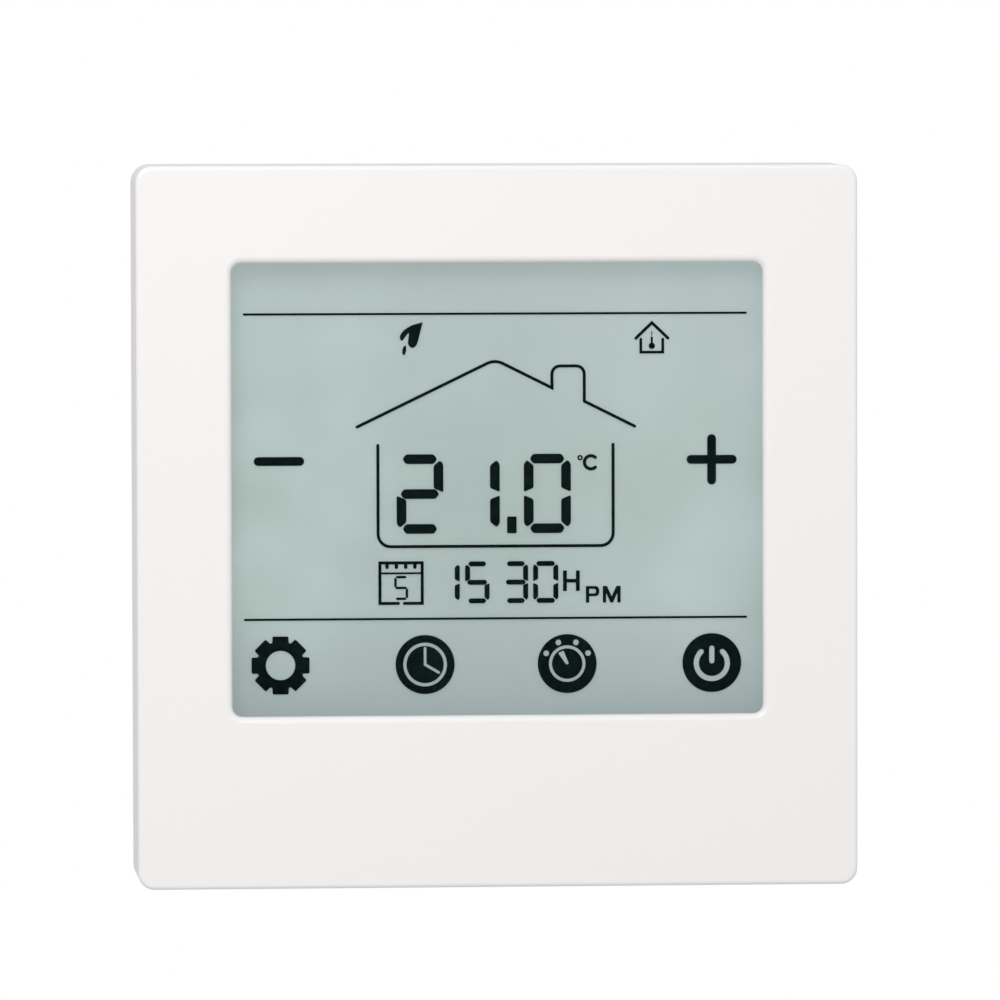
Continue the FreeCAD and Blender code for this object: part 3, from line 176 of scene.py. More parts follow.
class Sheet(Nodes):
    """One material's node tree, with its shader and the object's own coordinates."""

    def __init__(self, name: str) -> None:
        """Start a material holding a Principled shader and its output.

        Args:
            name: the material's name.
        """
        self.material = bpy.data.materials.new(name)
        self.material.use_nodes = True
        super().__init__(self.material.node_tree)
        self.shader = self.add("ShaderNodeBsdfPrincipled")
        self.add("ShaderNodeOutputMaterial", {"Surface": self.shader.outputs["BSDF"]})
        self.place = self.add("ShaderNodeTexCoord").outputs["Object"]

    def stretched(self, factors: Sequence[float], turn: Sequence[float] = (0, 0, 0)) -> Socket:
        """Give the object coordinates scaled along each axis.

        Args:
            factors: the scale along x, y and z.
            turn: the rotation about x, y and z, in radians.

        Returns:
            The scaled coordinates.
        """
        feeds = {"Scale": factors, "Rotation": turn, "Vector": self.place}
        return self.add("ShaderNodeMapping", feeds).outputs["Vector"]

    def noise(self, grain: float, detail: float = 2.0, where: Socket | None = None) -> Socket:
        """Give a cloudy pattern.

        Args:
            grain: the size of one cloud, in metres.
            detail: how many finer layers it has.
            where: the coordinates to use, or none for the object's own.

        Returns:
            The pattern's value, about 0.5 on average.
        """
        feeds = {"Scale": 1.0 / grain, "Detail": detail, "Vector": where or self.place}
        return self.add("ShaderNodeTexNoise", feeds).outputs["Fac"]

    def sum(self, first: Socket, second: Socket, operation: str = "ADD") -> Socket:
        """Combine two values with one arithmetic step."""
        return self.add("ShaderNodeMath", {0: first, 1: second}, operation=operation).outputs["Value"]

    def cells(self, size: float) -> bpy.types.Node:
        """Give a pattern of irregular cells of a size in metres."""
        return self.add("ShaderNodeTexVoronoi", {"Scale": 1.0 / size, "Vector": self.place})

    def bands(self, size: float, axis: str, distortion: float = 0.0) -> Socket:
        """Give even bands across an axis.

        Args:
            size: about the width of one band, in metres.
            axis: the axis that they follow each other along.
            distortion: how far they waver.

        Returns:
            The pattern's value.
        """
        feeds = {"Scale": BAND_SCALE / size, "Distortion": distortion, "Vector": self.place}
        return self.add("ShaderNodeTexWave", feeds, bands_direction=axis).outputs["Fac"]

    def bump(self, height: Socket, depth: float) -> None:
        """Raise the skin by a pattern, whose value of 1 stands for a depth in metres."""
        node = self.add("ShaderNodeBump", {"Strength": 1.0, "Distance": depth, "Height": height})
        self.feed(self.shader, {"Normal": node.outputs["Normal"]})


@dataclass(frozen=True)
class Finish:
    """A surface finish: two close colours, a span of roughness and a grain, in millimetres."""

    colour: Colour
    tint: Colour
    rough: Span
    grain: Grain = Grain.SPARKED
    size: float = 0.35
    depth: float = 0.01
    metal: float = 0.0
    coat: float = 0.0
    opacity: float = 1.0
    shine: float = 0.5

    def make(self, name: str) -> bpy.types.Material:
        """Build the material.

        Args:
            name: the material's name.

        Returns:
            The finished material.
        """
        sheet = Sheet(name)
        share, height = self.pattern(sheet, self.size * MM)
        feeds = {
            "Metallic": self.metal,
            "Coat Weight": self.coat,
            "Coat Roughness": COAT_ROUGHNESS,
            "Specular IOR Level": self.shine,
            "Alpha": self.opacity,
            "Base Color": sheet.mix(share, self.colour, self.tint),
            "Roughness": sheet.spread(height, *self.rough),
        }
        sheet.feed(sheet.shader, feeds)
        sheet.bump(height, self.depth * MM)
        if self.opacity < 1.0:
            sheet.material.blend_method = "BLEND"
        return sheet.material

    def pattern(self, sheet: Sheet, size: float) -> tuple[Socket, Socket]:
        """Lay the grain.

        Args:
            sheet: the material's node tree.
            size: the grain's size, in metres.

        Returns:
            The share of the tint and the height of the skin.
        """
        share = sheet.spread(sheet.noise(size * CLOUD_SCALE, 3.0), 0.0, 1.0)
        fine = sheet.noise(size, 1.0 if self.grain is Grain.POLISHED else 3.0)
        if self.grain is Grain.SPARKED:
            return share, sheet.sum(fine, sheet.noise(size * FINE_SCALE, 1.0), "MULTIPLY")
        if self.grain is Grain.SPANGLE:
            flakes = {"Color": sheet.cells(size).outputs["Color"]}
            split = sheet.add("ShaderNodeSeparateColor", flakes)
            lines = sheet.noise(size * 0.5, 3.0, sheet.stretched((1.0, 1.0, 0.08), (0, 0.6, 0)))
            height = sheet.sum(split.outputs["Green"], lines, "MULTIPLY")
            return sheet.spread(split.outputs["Red"], 0.0, 1.0, 0.0, 1.0), height
        if self.grain is Grain.DRAWN:
            return share, sheet.noise(size, 4.0, sheet.stretched((1.0, 0.06, 1.0)))
        if self.grain is Grain.FOAM:
            return share, sheet.cells(size).outputs["Distance"]
        if self.grain is Grain.TAPE:
            return share, sheet.bands(size, "Z", 0.8)
        if self.grain is Grain.LAYERED:
            return sheet.bands(size, "X"), fine
        if self.grain is Grain.LAMINATE:
            return self.tracks(sheet, size)
        return share, fine

    def tracks(self, sheet: Sheet, size: float) -> tuple[Socket, Socket]:
        """Lay copper tracks under a board's mask.

        Args:
            sheet: the material's node tree.
            size: the tracks' scale, in metres.

        Returns:
            The share of the tint and the height of the skin.
        """
        feeds = {
            "Scale": 1.0 / size,
            "Mortar Size": 0.04,
            "Brick Width": 9.0,
            "Row Height": 0.6,
            "Color1": (0.2, 0.2, 0.2, 1.0),
            "Color2": (0.9, 0.9, 0.9, 1.0),
            "Mortar": (0.0, 0.0, 0.0, 1.0),
            "Vector": sheet.stretched((1.0, 1.0, 1.0), (math.pi / 2, 0, 0)),
        }
        bricks = sheet.add("ShaderNodeTexBrick", feeds, offset=0.35, squash=0.6)
        split = sheet.add("ShaderNodeSeparateColor", {"Color": bricks.outputs["Color"]})
        return split.outputs["Red"], split.outputs["Red"]


@dataclass(frozen=True)
class GroundFinish:
    """The grey-green film behind the display's cell, lighter to the left and bluer to the right.

    The numbers left_from and right_from are shares of the film's width. The sizes foot_from,
    cloud, drift, skin and skin_depth are in millimetres.
    """

    middle: Colour = (0.385, 0.480, 0.468)
    left: Colour = (0.470, 0.590, 0.578)
    right: Colour = (0.485, 0.590, 0.592)
    # top and foot are painted light and painted shade: the fall of the light from above is painted into the
    # film, lighter over its upper half and darker and pinker towards its foot
    top: Colour = (0.470, 0.565, 0.560)
    foot: Colour = (0.362, 0.432, 0.436)
    haze: Colour = (0.385, 0.480, 0.425)
    # glow and depth: the film sends out light of its own colour at this strength, and depth dims its base
    # colour. The glow stands in for the display's backlight, and it is also painted light that lightens the
    # film and the shade that the segments throw on it.
    glow: float = 0.74
    depth: float = 0.36
    left_from: Span = (0.04, 0.42)
    right_from: float = 0.55
    # foot_from and top_share set how far the painted shade at the foot and the painted light at the top
    # reach
    foot_from: Span = (2.5, 15.0)
    top_share: float = 0.7
    cloud: float = 9.0
    cloud_share: float = 0.25
    drift: float = 14.0
    drift_span: Span = (0.42, 0.66)
    drift_share: float = 0.6
    skin: float = 0.12
    skin_depth: float = 0.004
    rough: Span = (0.55, 0.75)

    def make(self, name: str) -> bpy.types.Material:
        """Build the material.

        Args:
            name: the material's name.

        Returns:
            The finished material.
        """
        sheet = Sheet(name)
        fine = sheet.noise(self.skin * MM, 2.0)
        colour = self.shade(sheet)
        dark = (self.depth, self.depth, self.depth)
        feeds = {
            # painted glow: the film's own light stands in for the backlight and also lightens the film and
            # the segments' shade on it
            "Emission Color": colour,
            "Emission Strength": self.glow,
            "Base Color": sheet.mix(1.0, colour, dark, "MULTIPLY"),
            "Roughness": sheet.spread(fine, *self.rough),
        }
        sheet.feed(sheet.shader, feeds)
        sheet.bump(fine, self.skin_depth * MM)
        return sheet.material

    def shade(self, sheet: Sheet) -> Socket:
        """Blend the film's colours from side to side, and from top to foot with painted light at the top and
        painted shade at the foot.

        Args:
            sheet: the material's node tree.

        Returns:
            The colour.
        """
        low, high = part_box("rear_polariser")
        split = sheet.add("ShaderNodeSeparateXYZ", {"Vector": sheet.place})
        across, up = split.outputs["X"], split.outputs["Z"]
        reach = high.x - low.x
        left_start, left_end = (low.x + share * reach for share in self.left_from)
        foot_start, foot_end = (low.z + rise * MM for rise in self.foot_from)
        to_left = sheet.spread(across, 1.0, 0.0, left_start, left_end)
        to_right = sheet.spread(across, 0.0, 1.0, low.x + self.right_from * reach, high.x)
        # painted shade: the film darkens and turns pinker towards its foot
        painted_shade_to_foot = sheet.spread(up, 1.0, 0.0, foot_start, foot_end)
        # painted light: the film lightens over its upper half
        painted_light_to_top = sheet.spread(up, 0.0, self.top_share, (low.z + high.z) / 2, high.z)
        blotch = sheet.spread(sheet.noise(self.cloud * MM, 2.0), -self.cloud_share, self.cloud_share)
        haze = sheet.spread(sheet.noise(self.drift * MM, 1.0), 0.0, self.drift_share, *self.drift_span)
        colour = sheet.mix(sheet.sum(to_left, blotch), self.middle, self.left)
        colour = sheet.mix(to_right, colour, self.right)
        colour = sheet.mix(haze, colour, self.haze)
        colour = sheet.mix(painted_light_to_top, colour, self.top)
        return sheet.mix(painted_shade_to_foot, colour, self.foot)


def metal(colour: Colour, tint: Colour, rough: Span, size: float, depth: float = 0.004) -> Finish:
    """Give the finish of a drawn metal."""
    return Finish(colour, tint, rough, Grain.DRAWN, size, depth, metal=1.0)


def gloss(colour: Colour, tint: Colour, rough: Span, size: float = 0.6, depth: float = 0.01) -> Finish:
    """Give the finish of a glossy moulding or dipped resin."""
    return Finish(colour, tint, rough, Grain.POLISHED, size, depth)


def film(colour: Colour, tint: Colour, rough: Span, size: float, depth: float, **more: float) -> Finish:
    """Give the finish of a clear film, a glass or a printed ink."""
    return Finish(colour, tint, rough, Grain.FILM, size, depth, **more)


INK = film((0.0015, 0.006, 0.006), (0.003, 0.010, 0.010), (0.5, 0.7), 0.2, 0.002, shine=0.0)
GLAZE = film((0.02, 0.03, 0.03), (0.03, 0.04, 0.04), (0.06, 0.12), 2.0, 0.001, opacity=0.02, shine=0.3)
WHITE_PRINT = film((0.78, 0.78, 0.77), (0.84, 0.84, 0.83), (0.45, 0.6), 0.3, 0.004)
GREY_PRINT = film((0.10, 0.10, 0.105), (0.15, 0.15, 0.155), (0.45, 0.6), 0.3, 0.004)
FLOOR_PAINT = Finish((0.72, 0.68, 0.655), (0.74, 0.7, 0.675), (0.7, 0.85), size=2.0, depth=0.02)
FINISHES: dict[str, Finish | GroundFinish] = {
    "frame_gloss": gloss((0.825, 0.825, 0.823), (0.835, 0.836, 0.835), (0.28, 0.31), 1.6, 0.0006),
    "back_matte": Finish((0.72, 0.72, 0.71), (0.76, 0.76, 0.75), (0.5, 0.68)),
    "zinc_steel": metal((0.70, 0.70, 0.68), (0.60, 0.62, 0.64), (0.24, 0.42), 0.15),
    "touch_glass": GLAZE,
    "gasket_foam": Finish((0.03, 0.03, 0.032), (0.05, 0.05, 0.05), (0.85, 0.98), Grain.FOAM, 0.25, 0.05),
    "clear_polariser": GLAZE,
    "cell_glass": GLAZE,
    "display_ground": GroundFinish(),
    "white_film": film((0.86, 0.86, 0.86), (0.9, 0.9, 0.9), (0.35, 0.5), 0.3, 0.002),
    "guide_acrylic": film((0.86, 0.92, 0.95), (0.9, 0.95, 0.97), (0.05, 0.1), 1.0, 0.001, opacity=0.5),
    "holder_plastic": Finish((0.66, 0.66, 0.65), (0.7, 0.7, 0.69), (0.5, 0.7)),
    "led_resin": gloss((0.9, 0.86, 0.5), (0.95, 0.92, 0.62), (0.2, 0.3), 0.35),
    "strip_rubber": Finish((0.42, 0.26, 0.28), (0.07, 0.06, 0.06), (0.6, 0.8), Grain.LAYERED, 0.12),
    "flex_film": film((0.55, 0.27, 0.05), (0.62, 0.34, 0.09), (0.2, 0.35), 0.5, 0.004, coat=0.3),
    "board_laminate": Finish(
        (0.018, 0.14, 0.06), (0.035, 0.24, 0.10), (0.28, 0.42), Grain.LAMINATE, 1.1, 0.03, coat=0.3
    ),
    "chip_epoxy": Finish((0.022, 0.022, 0.024), (0.035, 0.035, 0.037), (0.55, 0.75), size=0.15),
    "can_steel": metal((0.72, 0.72, 0.70), (0.62, 0.63, 0.64), (0.2, 0.36), 0.12),
    "dark_plastic": Finish((0.02, 0.02, 0.022), (0.035, 0.035, 0.037), (0.4, 0.6)),
    "sensor_resin": gloss((0.05, 0.1, 0.06), (0.07, 0.13, 0.08), (0.15, 0.3), 0.5, 0.02),
    "contact_brass": metal((0.78, 0.57, 0.24), (0.70, 0.50, 0.20), (0.2, 0.38), 0.1),
    "galvanised_steel": Finish(
        (0.64, 0.66, 0.68), (0.56, 0.58, 0.60), (0.34, 0.48), Grain.SPANGLE, 1.3, 0.003, metal=1.0
    ),
    "box_plastic": Finish((0.74, 0.735, 0.71), (0.78, 0.775, 0.75), (0.48, 0.66), size=0.3, depth=0.015),
    "terminal_plastic": Finish((0.02, 0.17, 0.07), (0.03, 0.21, 0.09), (0.36, 0.52)),
    "relay_plastic": gloss((0.012, 0.05, 0.22), (0.02, 0.07, 0.28), (0.25, 0.4)),
    "coil_copper": metal((0.55, 0.20, 0.06), (0.66, 0.28, 0.10), (0.2, 0.34), 0.1, 0.003),
    "relay_iron": metal((0.58, 0.59, 0.58), (0.48, 0.49, 0.5), (0.26, 0.42), 0.15),
    "ferrite": Finish((0.03, 0.03, 0.033), (0.05, 0.05, 0.053), (0.5, 0.75), size=0.2, depth=0.02),
    "winding_tape": Finish(
        (0.80, 0.50, 0.03), (0.86, 0.58, 0.05), (0.22, 0.4), Grain.TAPE, 0.4, 0.03, coat=0.2
    ),
    "can_sleeve": gloss((0.012, 0.014, 0.03), (0.02, 0.022, 0.045), (0.18, 0.3), 0.8),
    "film_cap_resin": gloss((0.72, 0.42, 0.03), (0.78, 0.48, 0.05), (0.2, 0.34)),
    "varistor_resin": gloss((0.012, 0.08, 0.26), (0.02, 0.11, 0.32), (0.18, 0.32), 0.7, 0.03),
    "cage_steel": metal((0.68, 0.64, 0.5), (0.58, 0.56, 0.48), (0.26, 0.44), 0.12),
}


class Paints:
    """Makes each finish once and hands it out by the name of its material slot."""

    def __init__(self) -> None:
        """Read which slot each CAD node takes from the record."""
        self.made: dict[str, bpy.types.Material] = {}
        self.slots: dict[str, str] = {
            row["node"]: row["material_slot"] for row in frame["record"]["subparts"]
        }

    def get(self, name: str, finish: Finish | GroundFinish | None = None) -> bpy.types.Material:
        """Give a material, made on first use.

        Args:
            name: the slot's or the material's name.
            finish: the finish, or none for the slot's own.

        Returns:
            The material.
        """
        if name not in self.made:
            self.made[name] = (finish or FINISHES[name]).make(name)
        return self.made[name]

    def dress(self, nodes: Sequence[str]) -> None:
        """Give CAD nodes the materials of their slots.

        Args:
            nodes: the nodes' names.
        """
        for node in nodes:
            mesh = frame["nodes"][node].data
            mesh.materials.clear()
            mesh.materials.append(self.get(self.slots[node]))


# ---------------------------------------------------------------- flat shapes, in millimetres
def rounded(corners: Sequence[Point], radius: float, steps: int = 5, kept: Sequence[int] = ()) -> Loop:
    """Round the corners of a closed outline.

    Args:
        corners: the corner points, in order.
        radius: how far from each corner the rounding starts.
        steps: points along each rounding.
        kept: places in the row of corners that stay sharp.

    Returns:
        The rounded outline.
    """
    loop: Loop = []
    for i, corner in enumerate(corners):
        if i in kept:
            loop.append(corner)
            continue
        here = Vector(corner)
        before = Vector(corners[i - 1]) - here
        after = Vector(corners[(i + 1) % len(corners)]) - here
        reach = min(radius, before.length * 0.5, after.length * 0.5)
        start = here + before.normalized() * reach
        end = here + after.normalized() * reach
        for k in range(steps + 1):
            t = k / steps
            at = start * (1 - t) ** 2 + here * 2 * t * (1 - t) + end * t * t
            loop.append((at.x, at.y))
    return loop


def arc(x: float, z: float, radius: float, start: float, end: float, steps: int = 32) -> Loop:
    """Give points along an arc.

    Args:
        x: the centre, to the right.
        z: the centre, up.
        radius: the arc's radius.
        start: the first angle in degrees, from the right, turning upwards.
        end: the last angle in degrees.
        steps: how many runs it has.

    Returns:
        The points.
    """
    turns = [math.radians(start + (end - start) * k / steps) for k in range(steps + 1)]
    return [(x + radius * math.cos(a), z + radius * math.sin(a)) for a in turns]


def disc(x: float, z: float, radius: float, steps: int = 72) -> Loop:
    """Give a closed circle."""
    return arc(x, z, radius, 0, 360, steps)[:-1]


def stroke(path: Sequence[Point], width: float, steps: int = 6) -> Loop:
    """Draw a pen line with round ends.

    Args:
        path: the points that the pen passes.
        width: the line's width.
        steps: runs in each round end.

    Returns:
        The line's outline.
    """
    points = [Vector(p) for p in path]
    runs = [(b - a).normalized() for a, b in zip(points, points[1:])]
    left: Loop = []
    right: Loop = []
    for i, point in enumerate(points):
        before = runs[max(i - 1, 0)]
        after = runs[min(i, len(runs) - 1)]
        along = (before + after).normalized()
        side = Vector((-along.y, along.x)) * (width / 2 / max(along.dot(after), 0.35))
        left.append(tuple(point + side))
        right.append(tuple(point - side))
    caps: list[Loop] = []
    for point, run in ((points[-1], runs[-1]), (points[0], -runs[0])):
        base = math.degrees(math.atan2(run.y, run.x))
        caps.append(arc(point.x, point.y, width / 2, base + 90, base - 90, steps)[1:-1])
    return left + caps[0] + right[::-1] + caps[1]


def turned(point: Point, x: float, z: float, turn: float) -> Point:
    """Turn a point about a centre.

    Args:
        point: the point.
        x: the centre, to the right.
        z: the centre, up.
        turn: the angle in radians.

    Returns:
        The turned point.
    """
    cosine, sine = math.cos(turn), math.sin(turn)
    across, up = point[0] - x, point[1] - z
    return cosine * across - sine * up + x, sine * across + cosine * up + z


def oblong(left: float, right: float, foot: float, top: float) -> Loop:
    """Give the corners of an upright oblong."""
    return [(left, foot), (right, foot), (right, top), (left, top)]


def level_bar(x0: float, x1: float, z0: float, z1: float) -> Loop:
    """Give a level display segment with blunt pointed ends.

    Args:
        x0: its left end.
        x1: its right end.
        z0: its lower side.
        z1: its upper side.

    Returns:
        The segment's outline.
    """
    point_share, round_share = 0.72, 0.45
    half = (z1 - z0) / 2
    mid = (z0 + z1) / 2
    left, right = x0 + half * point_share, x1 - half * point_share
    ends = [(x0, mid), (left, z1), (right, z1), (x1, mid), (right, z0), (left, z0)]
    return rounded(ends, half * round_share)


def upright_bar(outer: float, inner: float, tip: float, middle: float) -> Loop:
    """Give an upright display segment, blunt at its tip and cut aslant at the digit's middle.

    Args:
        outer: x of the side that faces out of the digit.
        inner: x of the side that faces into the digit.
        tip: z of the end near the top or foot bar.
        middle: z of the end near the middle bar.

    Returns:
        The segment's outline.
    """
    shoulder, shelf, cut, slant, round_share = 0.42, 0.32, 0.55, 0.42, 0.22
    wide = abs(outer - inner)
    way = 1.0 if tip > middle else -1.0
    step = (inner - outer) / wide
    corners = [
        (outer, middle),
        (outer, tip - way * wide * shoulder),
        (outer + step * wide * shelf, tip),
        (inner, tip - way * wide * cut),
        (inner, middle + way * wide * slant),
    ]
    return rounded(corners, wide * round_share)


def numeral(number: int) -> list[Loop]:
    """Give the pen paths of a numeral, one unit tall and 0.6 wide.

    Args:
        number: the numeral, from 1 to 6.

    Returns:
        The paths.
    """
    paths: dict[int, list[Loop]] = {
        1: [[(0.1, 0.78), (0.34, 1.0), (0.34, 0.0)]],
        2: [[*arc(0.3, 0.7, 0.3, 165, -38, 10), (0.0, 0.0), (0.6, 0.0)]],
        3: [[*arc(0.28, 0.75, 0.25, 150, -90, 10)], [*arc(0.28, 0.26, 0.28, 88, -150, 10)]],
        4: [[(0.44, 0.0), (0.44, 1.0), (0.0, 0.3), (0.6, 0.3)]],
        5: [[(0.54, 1.0), (0.1, 1.0), (0.06, 0.55), *arc(0.27, 0.32, 0.32, 110, -150, 12)]],
        6: [[(0.46, 1.0), *arc(0.3, 0.3, 0.3, 150, 510, 20)]],
    }
    return paths[number]


class Bar(Enum):
    """The seven bars of a digit."""

    TOP = "a"
    RIGHT_HIGH = "b"
    RIGHT_LOW = "c"
    FOOT = "d"
    LEFT_LOW = "e"
    LEFT_HIGH = "f"
    MIDDLE = "g"


@dataclass(frozen=True)
class Digit:
    """One seven-bar digit in its box, in millimetres."""

    left: float
    right: float
    foot: float
    top: float
    thick: float
    lit: str

    def bars(self) -> list[Loop]:
        """Draw the digit.

        Returns:
            The outlines of the lit bars.
        """
        t = self.thick
        gap, draw_in = t * 0.16, t * 0.62
        mid = (self.foot + self.top) / 2
        start, end = self.left + t * 0.6, self.right - draw_in
        high, low = self.top - draw_in, self.foot + draw_in
        shapes = {
            Bar.TOP: level_bar(start, end, self.top - t, self.top),
            Bar.RIGHT_HIGH: upright_bar(self.right, self.right - t, high, mid + gap),
            Bar.RIGHT_LOW: upright_bar(self.right, self.right - t, low, mid - gap),
            Bar.FOOT: level_bar(start, end, self.foot, self.foot + t),
            Bar.LEFT_LOW: upright_bar(self.left, self.left + t, low, mid - gap),
            Bar.LEFT_HIGH: upright_bar(self.left, self.left + t, high, mid + gap),
            Bar.MIDDLE: level_bar(self.left + t * 0.38, self.right - t * 0.42, mid - t / 2, mid + t / 2),
        }
        return [loop for bar, loop in shapes.items() if bar.value in self.lit]


# ---------------------------------------------------------------- meshes
def add_prism(mesh: bmesh.types.BMesh, loops: Sequence[Loop], back: float, front: float) -> None:
    """Add a flat shape with thickness, closed all round.

    Args:
        mesh: the mesh to add to.
        loops: the outline in millimetres, followed by its holes.
        back: how far its back face stands out from the wall, in millimetres.
        front: how far its front face stands out from the wall.
    """
    flat = [[Vector((x, z, 0.0)) for x, z in loop] for loop in loops]
    triangles = tessellate_polygon(flat)
    rims = []
    for out in (back, front):
        rims.append([[mesh.verts.new((x * MM, -out * MM, z * MM)) for x, z in loop] for loop in loops])
    for rim in rims:
        points = [vertex for loop in rim for vertex in loop]
        for triangle in triangles:
            mesh.faces.new([points[i] for i in triangle])
    for near, far in zip(*rims):
        for i in range(len(near)):
            mesh.faces.new((near[i - 1], near[i], far[i], far[i - 1]))


def add_loft(mesh: bmesh.types.BMesh, rims: Sequence[Sequence[Vector]]) -> None:
    """Join a row of rims of equal count and close both ends.

    Args:
        mesh: the mesh to add to.
        rims: the rims, in order.
    """
    rows = [[mesh.verts.new(point) for point in rim] for rim in rims]
    for near, far in zip(rows, rows[1:]):
        for i in range(len(near)):
            mesh.faces.new((near[i - 1], near[i], far[i], far[i - 1]))
    mesh.faces.new(rows[0])
    mesh.faces.new(rows[-1])


def link_object(name: str, data: bpy.types.ID) -> bpy.types.Object:
    """Put a mesh, light or camera into the scene as an object.

    Args:
        name: the object's name.
        data: what the object shows.

    Returns:
        The object.
    """
    thing = bpy.data.objects.new(name, data)
    bpy.context.scene.collection.objects.link(thing)
    return thing


def link_mesh(name: str, mesh: bmesh.types.BMesh, material: bpy.types.Material) -> bpy.types.Object:
    """Turn a mesh into an object whose faces point outwards.

    Args:
        name: the object's name.
        mesh: its mesh, which is used up.
        material: its material.

    Returns:
        The object.
    """
    bmesh.ops.recalc_face_normals(mesh, faces=mesh.faces)
    data = bpy.data.meshes.new(name)
    mesh.to_mesh(data)
    mesh.free()
    data.materials.append(material)
    return link_object(name, data)


def finish_piece(piece: bpy.types.Object, body: str) -> bpy.types.Object:
    """Let a piece ride on a body.

    Args:
        piece: the piece.
        body: the CAD body that it moves with.

    Returns:
        The piece.
    """
    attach(piece, body)
    return piece


class Recipe(Nodes):
    """A geometry node tree with named inputs, run once and kept as a plain mesh."""

    def __init__(self, name: str, floats: Sequence[str], vector: str) -> None:
        """Start a tree with its named inputs and the material's.

        Args:
            name: the tree's name.
            floats: the names of its number inputs.
            vector: the name of its vector input.
        """
        super().__init__(bpy.data.node_groups.new(name, "GeometryNodeTree"))
        self.keys: dict[str, str] = {}
        self.tree.interface.new_socket("Geometry", in_out="OUTPUT", socket_type="NodeSocketGeometry")
        self.tree.interface.new_socket("Geometry", in_out="INPUT", socket_type="NodeSocketGeometry")
        kinds = {key: "NodeSocketFloat" for key in floats}
        kinds |= {vector: "NodeSocketVector", "Material": "NodeSocketMaterial"}
        for key, kind in kinds.items():
            socket = self.tree.interface.new_socket(key, in_out="INPUT", socket_type=kind)
            self.keys[key] = socket.identifier
        self.entry = self.tree.nodes.new("NodeGroupInput")

    def feed(self, node: bpy.types.Node, feeds: Feeds) -> None:
        """Feed some of a node's inputs, where text names one of the tree's own inputs."""
        named = {key: self.entry.outputs[given] for key, given in feeds.items() if isinstance(given, str)}
        super().feed(node, feeds | named)

    def end(self, geometry: Socket) -> None:
        """Close the tree: instances made real and given the material.

        Args:
            geometry: the last geometry socket.
        """
        real = self.add("GeometryNodeRealizeInstances", {"Geometry": geometry})
        paint = self.add("GeometryNodeSetMaterial", {"Geometry": real.outputs[0], "Material": "Material"})
        self.add("NodeGroupOutput", {"Geometry": paint.outputs[0]})

    def run(
        self, name: str, points: Sequence[Vector], values: dict[str, object], body: str, slot: str
    ) -> bpy.types.Object:
        """Run the tree and keep the result, shaded smooth up to its sharp edges.

        Args:
            name: the piece's name.
            points: the loose points that the tree starts from, in metres.
            values: a value for each named input.
            body: the CAD body that it moves with.
            slot: not used.

        Returns:
            The piece.
        """
        start = bpy.data.meshes.new(name)
        start.from_pydata([tuple(point) for point in points], [], [])
        piece = link_object(name, start)
        grower = piece.modifiers.new(name, "NODES")
        grower.node_group = self.tree
        for key, given in values.items():
            grower[self.keys[key]] = given
        bpy.context.view_layer.update()
        grown = piece.evaluated_get(bpy.context.evaluated_depsgraph_get())
        data = bpy.data.meshes.new_from_object(grown)
        piece.modifiers.remove(grower)
        piece.data = data
        data.name = name
        data.shade_smooth()
        data.set_sharp_from_angle(angle=SHARP_EDGE)
        return finish_piece(piece, body)


@dataclass(frozen=True)
class Mound:
    """A small round mound on a board or film, in millimetres."""

    foot: float
    tip: float
    tall: float
    faces: int = 12
    sizes: Span = (0.9, 1.1)

    def build(
        self, name: str, points: Sequence[Vector], material: bpy.types.Material, body: str, slot: str
    ) -> None:
        """Put a mound of a slightly different size on every point.

        Args:
            name: the piece's name.
            points: where the mounds are, in metres.
            material: their material.
            body: the CAD body that they move with.
            slot: the record's material slot.
        """
        recipe = Recipe(name, ("Foot", "Tip", "Height"), "Turn")
        cone = {"Radius Bottom": "Foot", "Radius Top": "Tip", "Depth": "Height", "Vertices": self.faces}
        mound = recipe.add("GeometryNodeMeshCone", cone)
        turned = {"Geometry": mound.outputs["Mesh"], "Rotation": "Turn"}
        upright = recipe.add("GeometryNodeTransform", turned)
        least, most = self.sizes
        size = recipe.add("FunctionNodeRandomValue", {2: least, 3: most, "Seed": 7}, data_type="FLOAT")
        feeds = {"Points": "Geometry", "Instance": upright.outputs[0], "Scale": size.outputs[1]}
        recipe.end(recipe.add("GeometryNodeInstanceOnPoints", feeds).outputs[0])
        values = {
            "Foot": self.foot * MM,
            "Tip": self.tip * MM,
            "Height": self.tall * MM,
            "Turn": (math.radians(90), 0.0, 0.0),
            "Material": material,
        }
        recipe.run(name, points, values, body, slot)


# ---------------------------------------------------------------- the timer's parts
@dataclass
class Assembly:
    """A sub-assembly of the timer, with the CAD nodes that it keeps."""

    paints: Paints
    nodes: tuple[str, ...] = ()

    def dress(self) -> None:
        """Give the CAD nodes their finishes."""
        self.paints.dress(self.nodes)


@dataclass
class FrontShell(Assembly):
    """The white frame, its back and the screws that hold them together."""

    nodes: tuple[str, ...] = ("front_frame", "frame_back", "cover_screws")


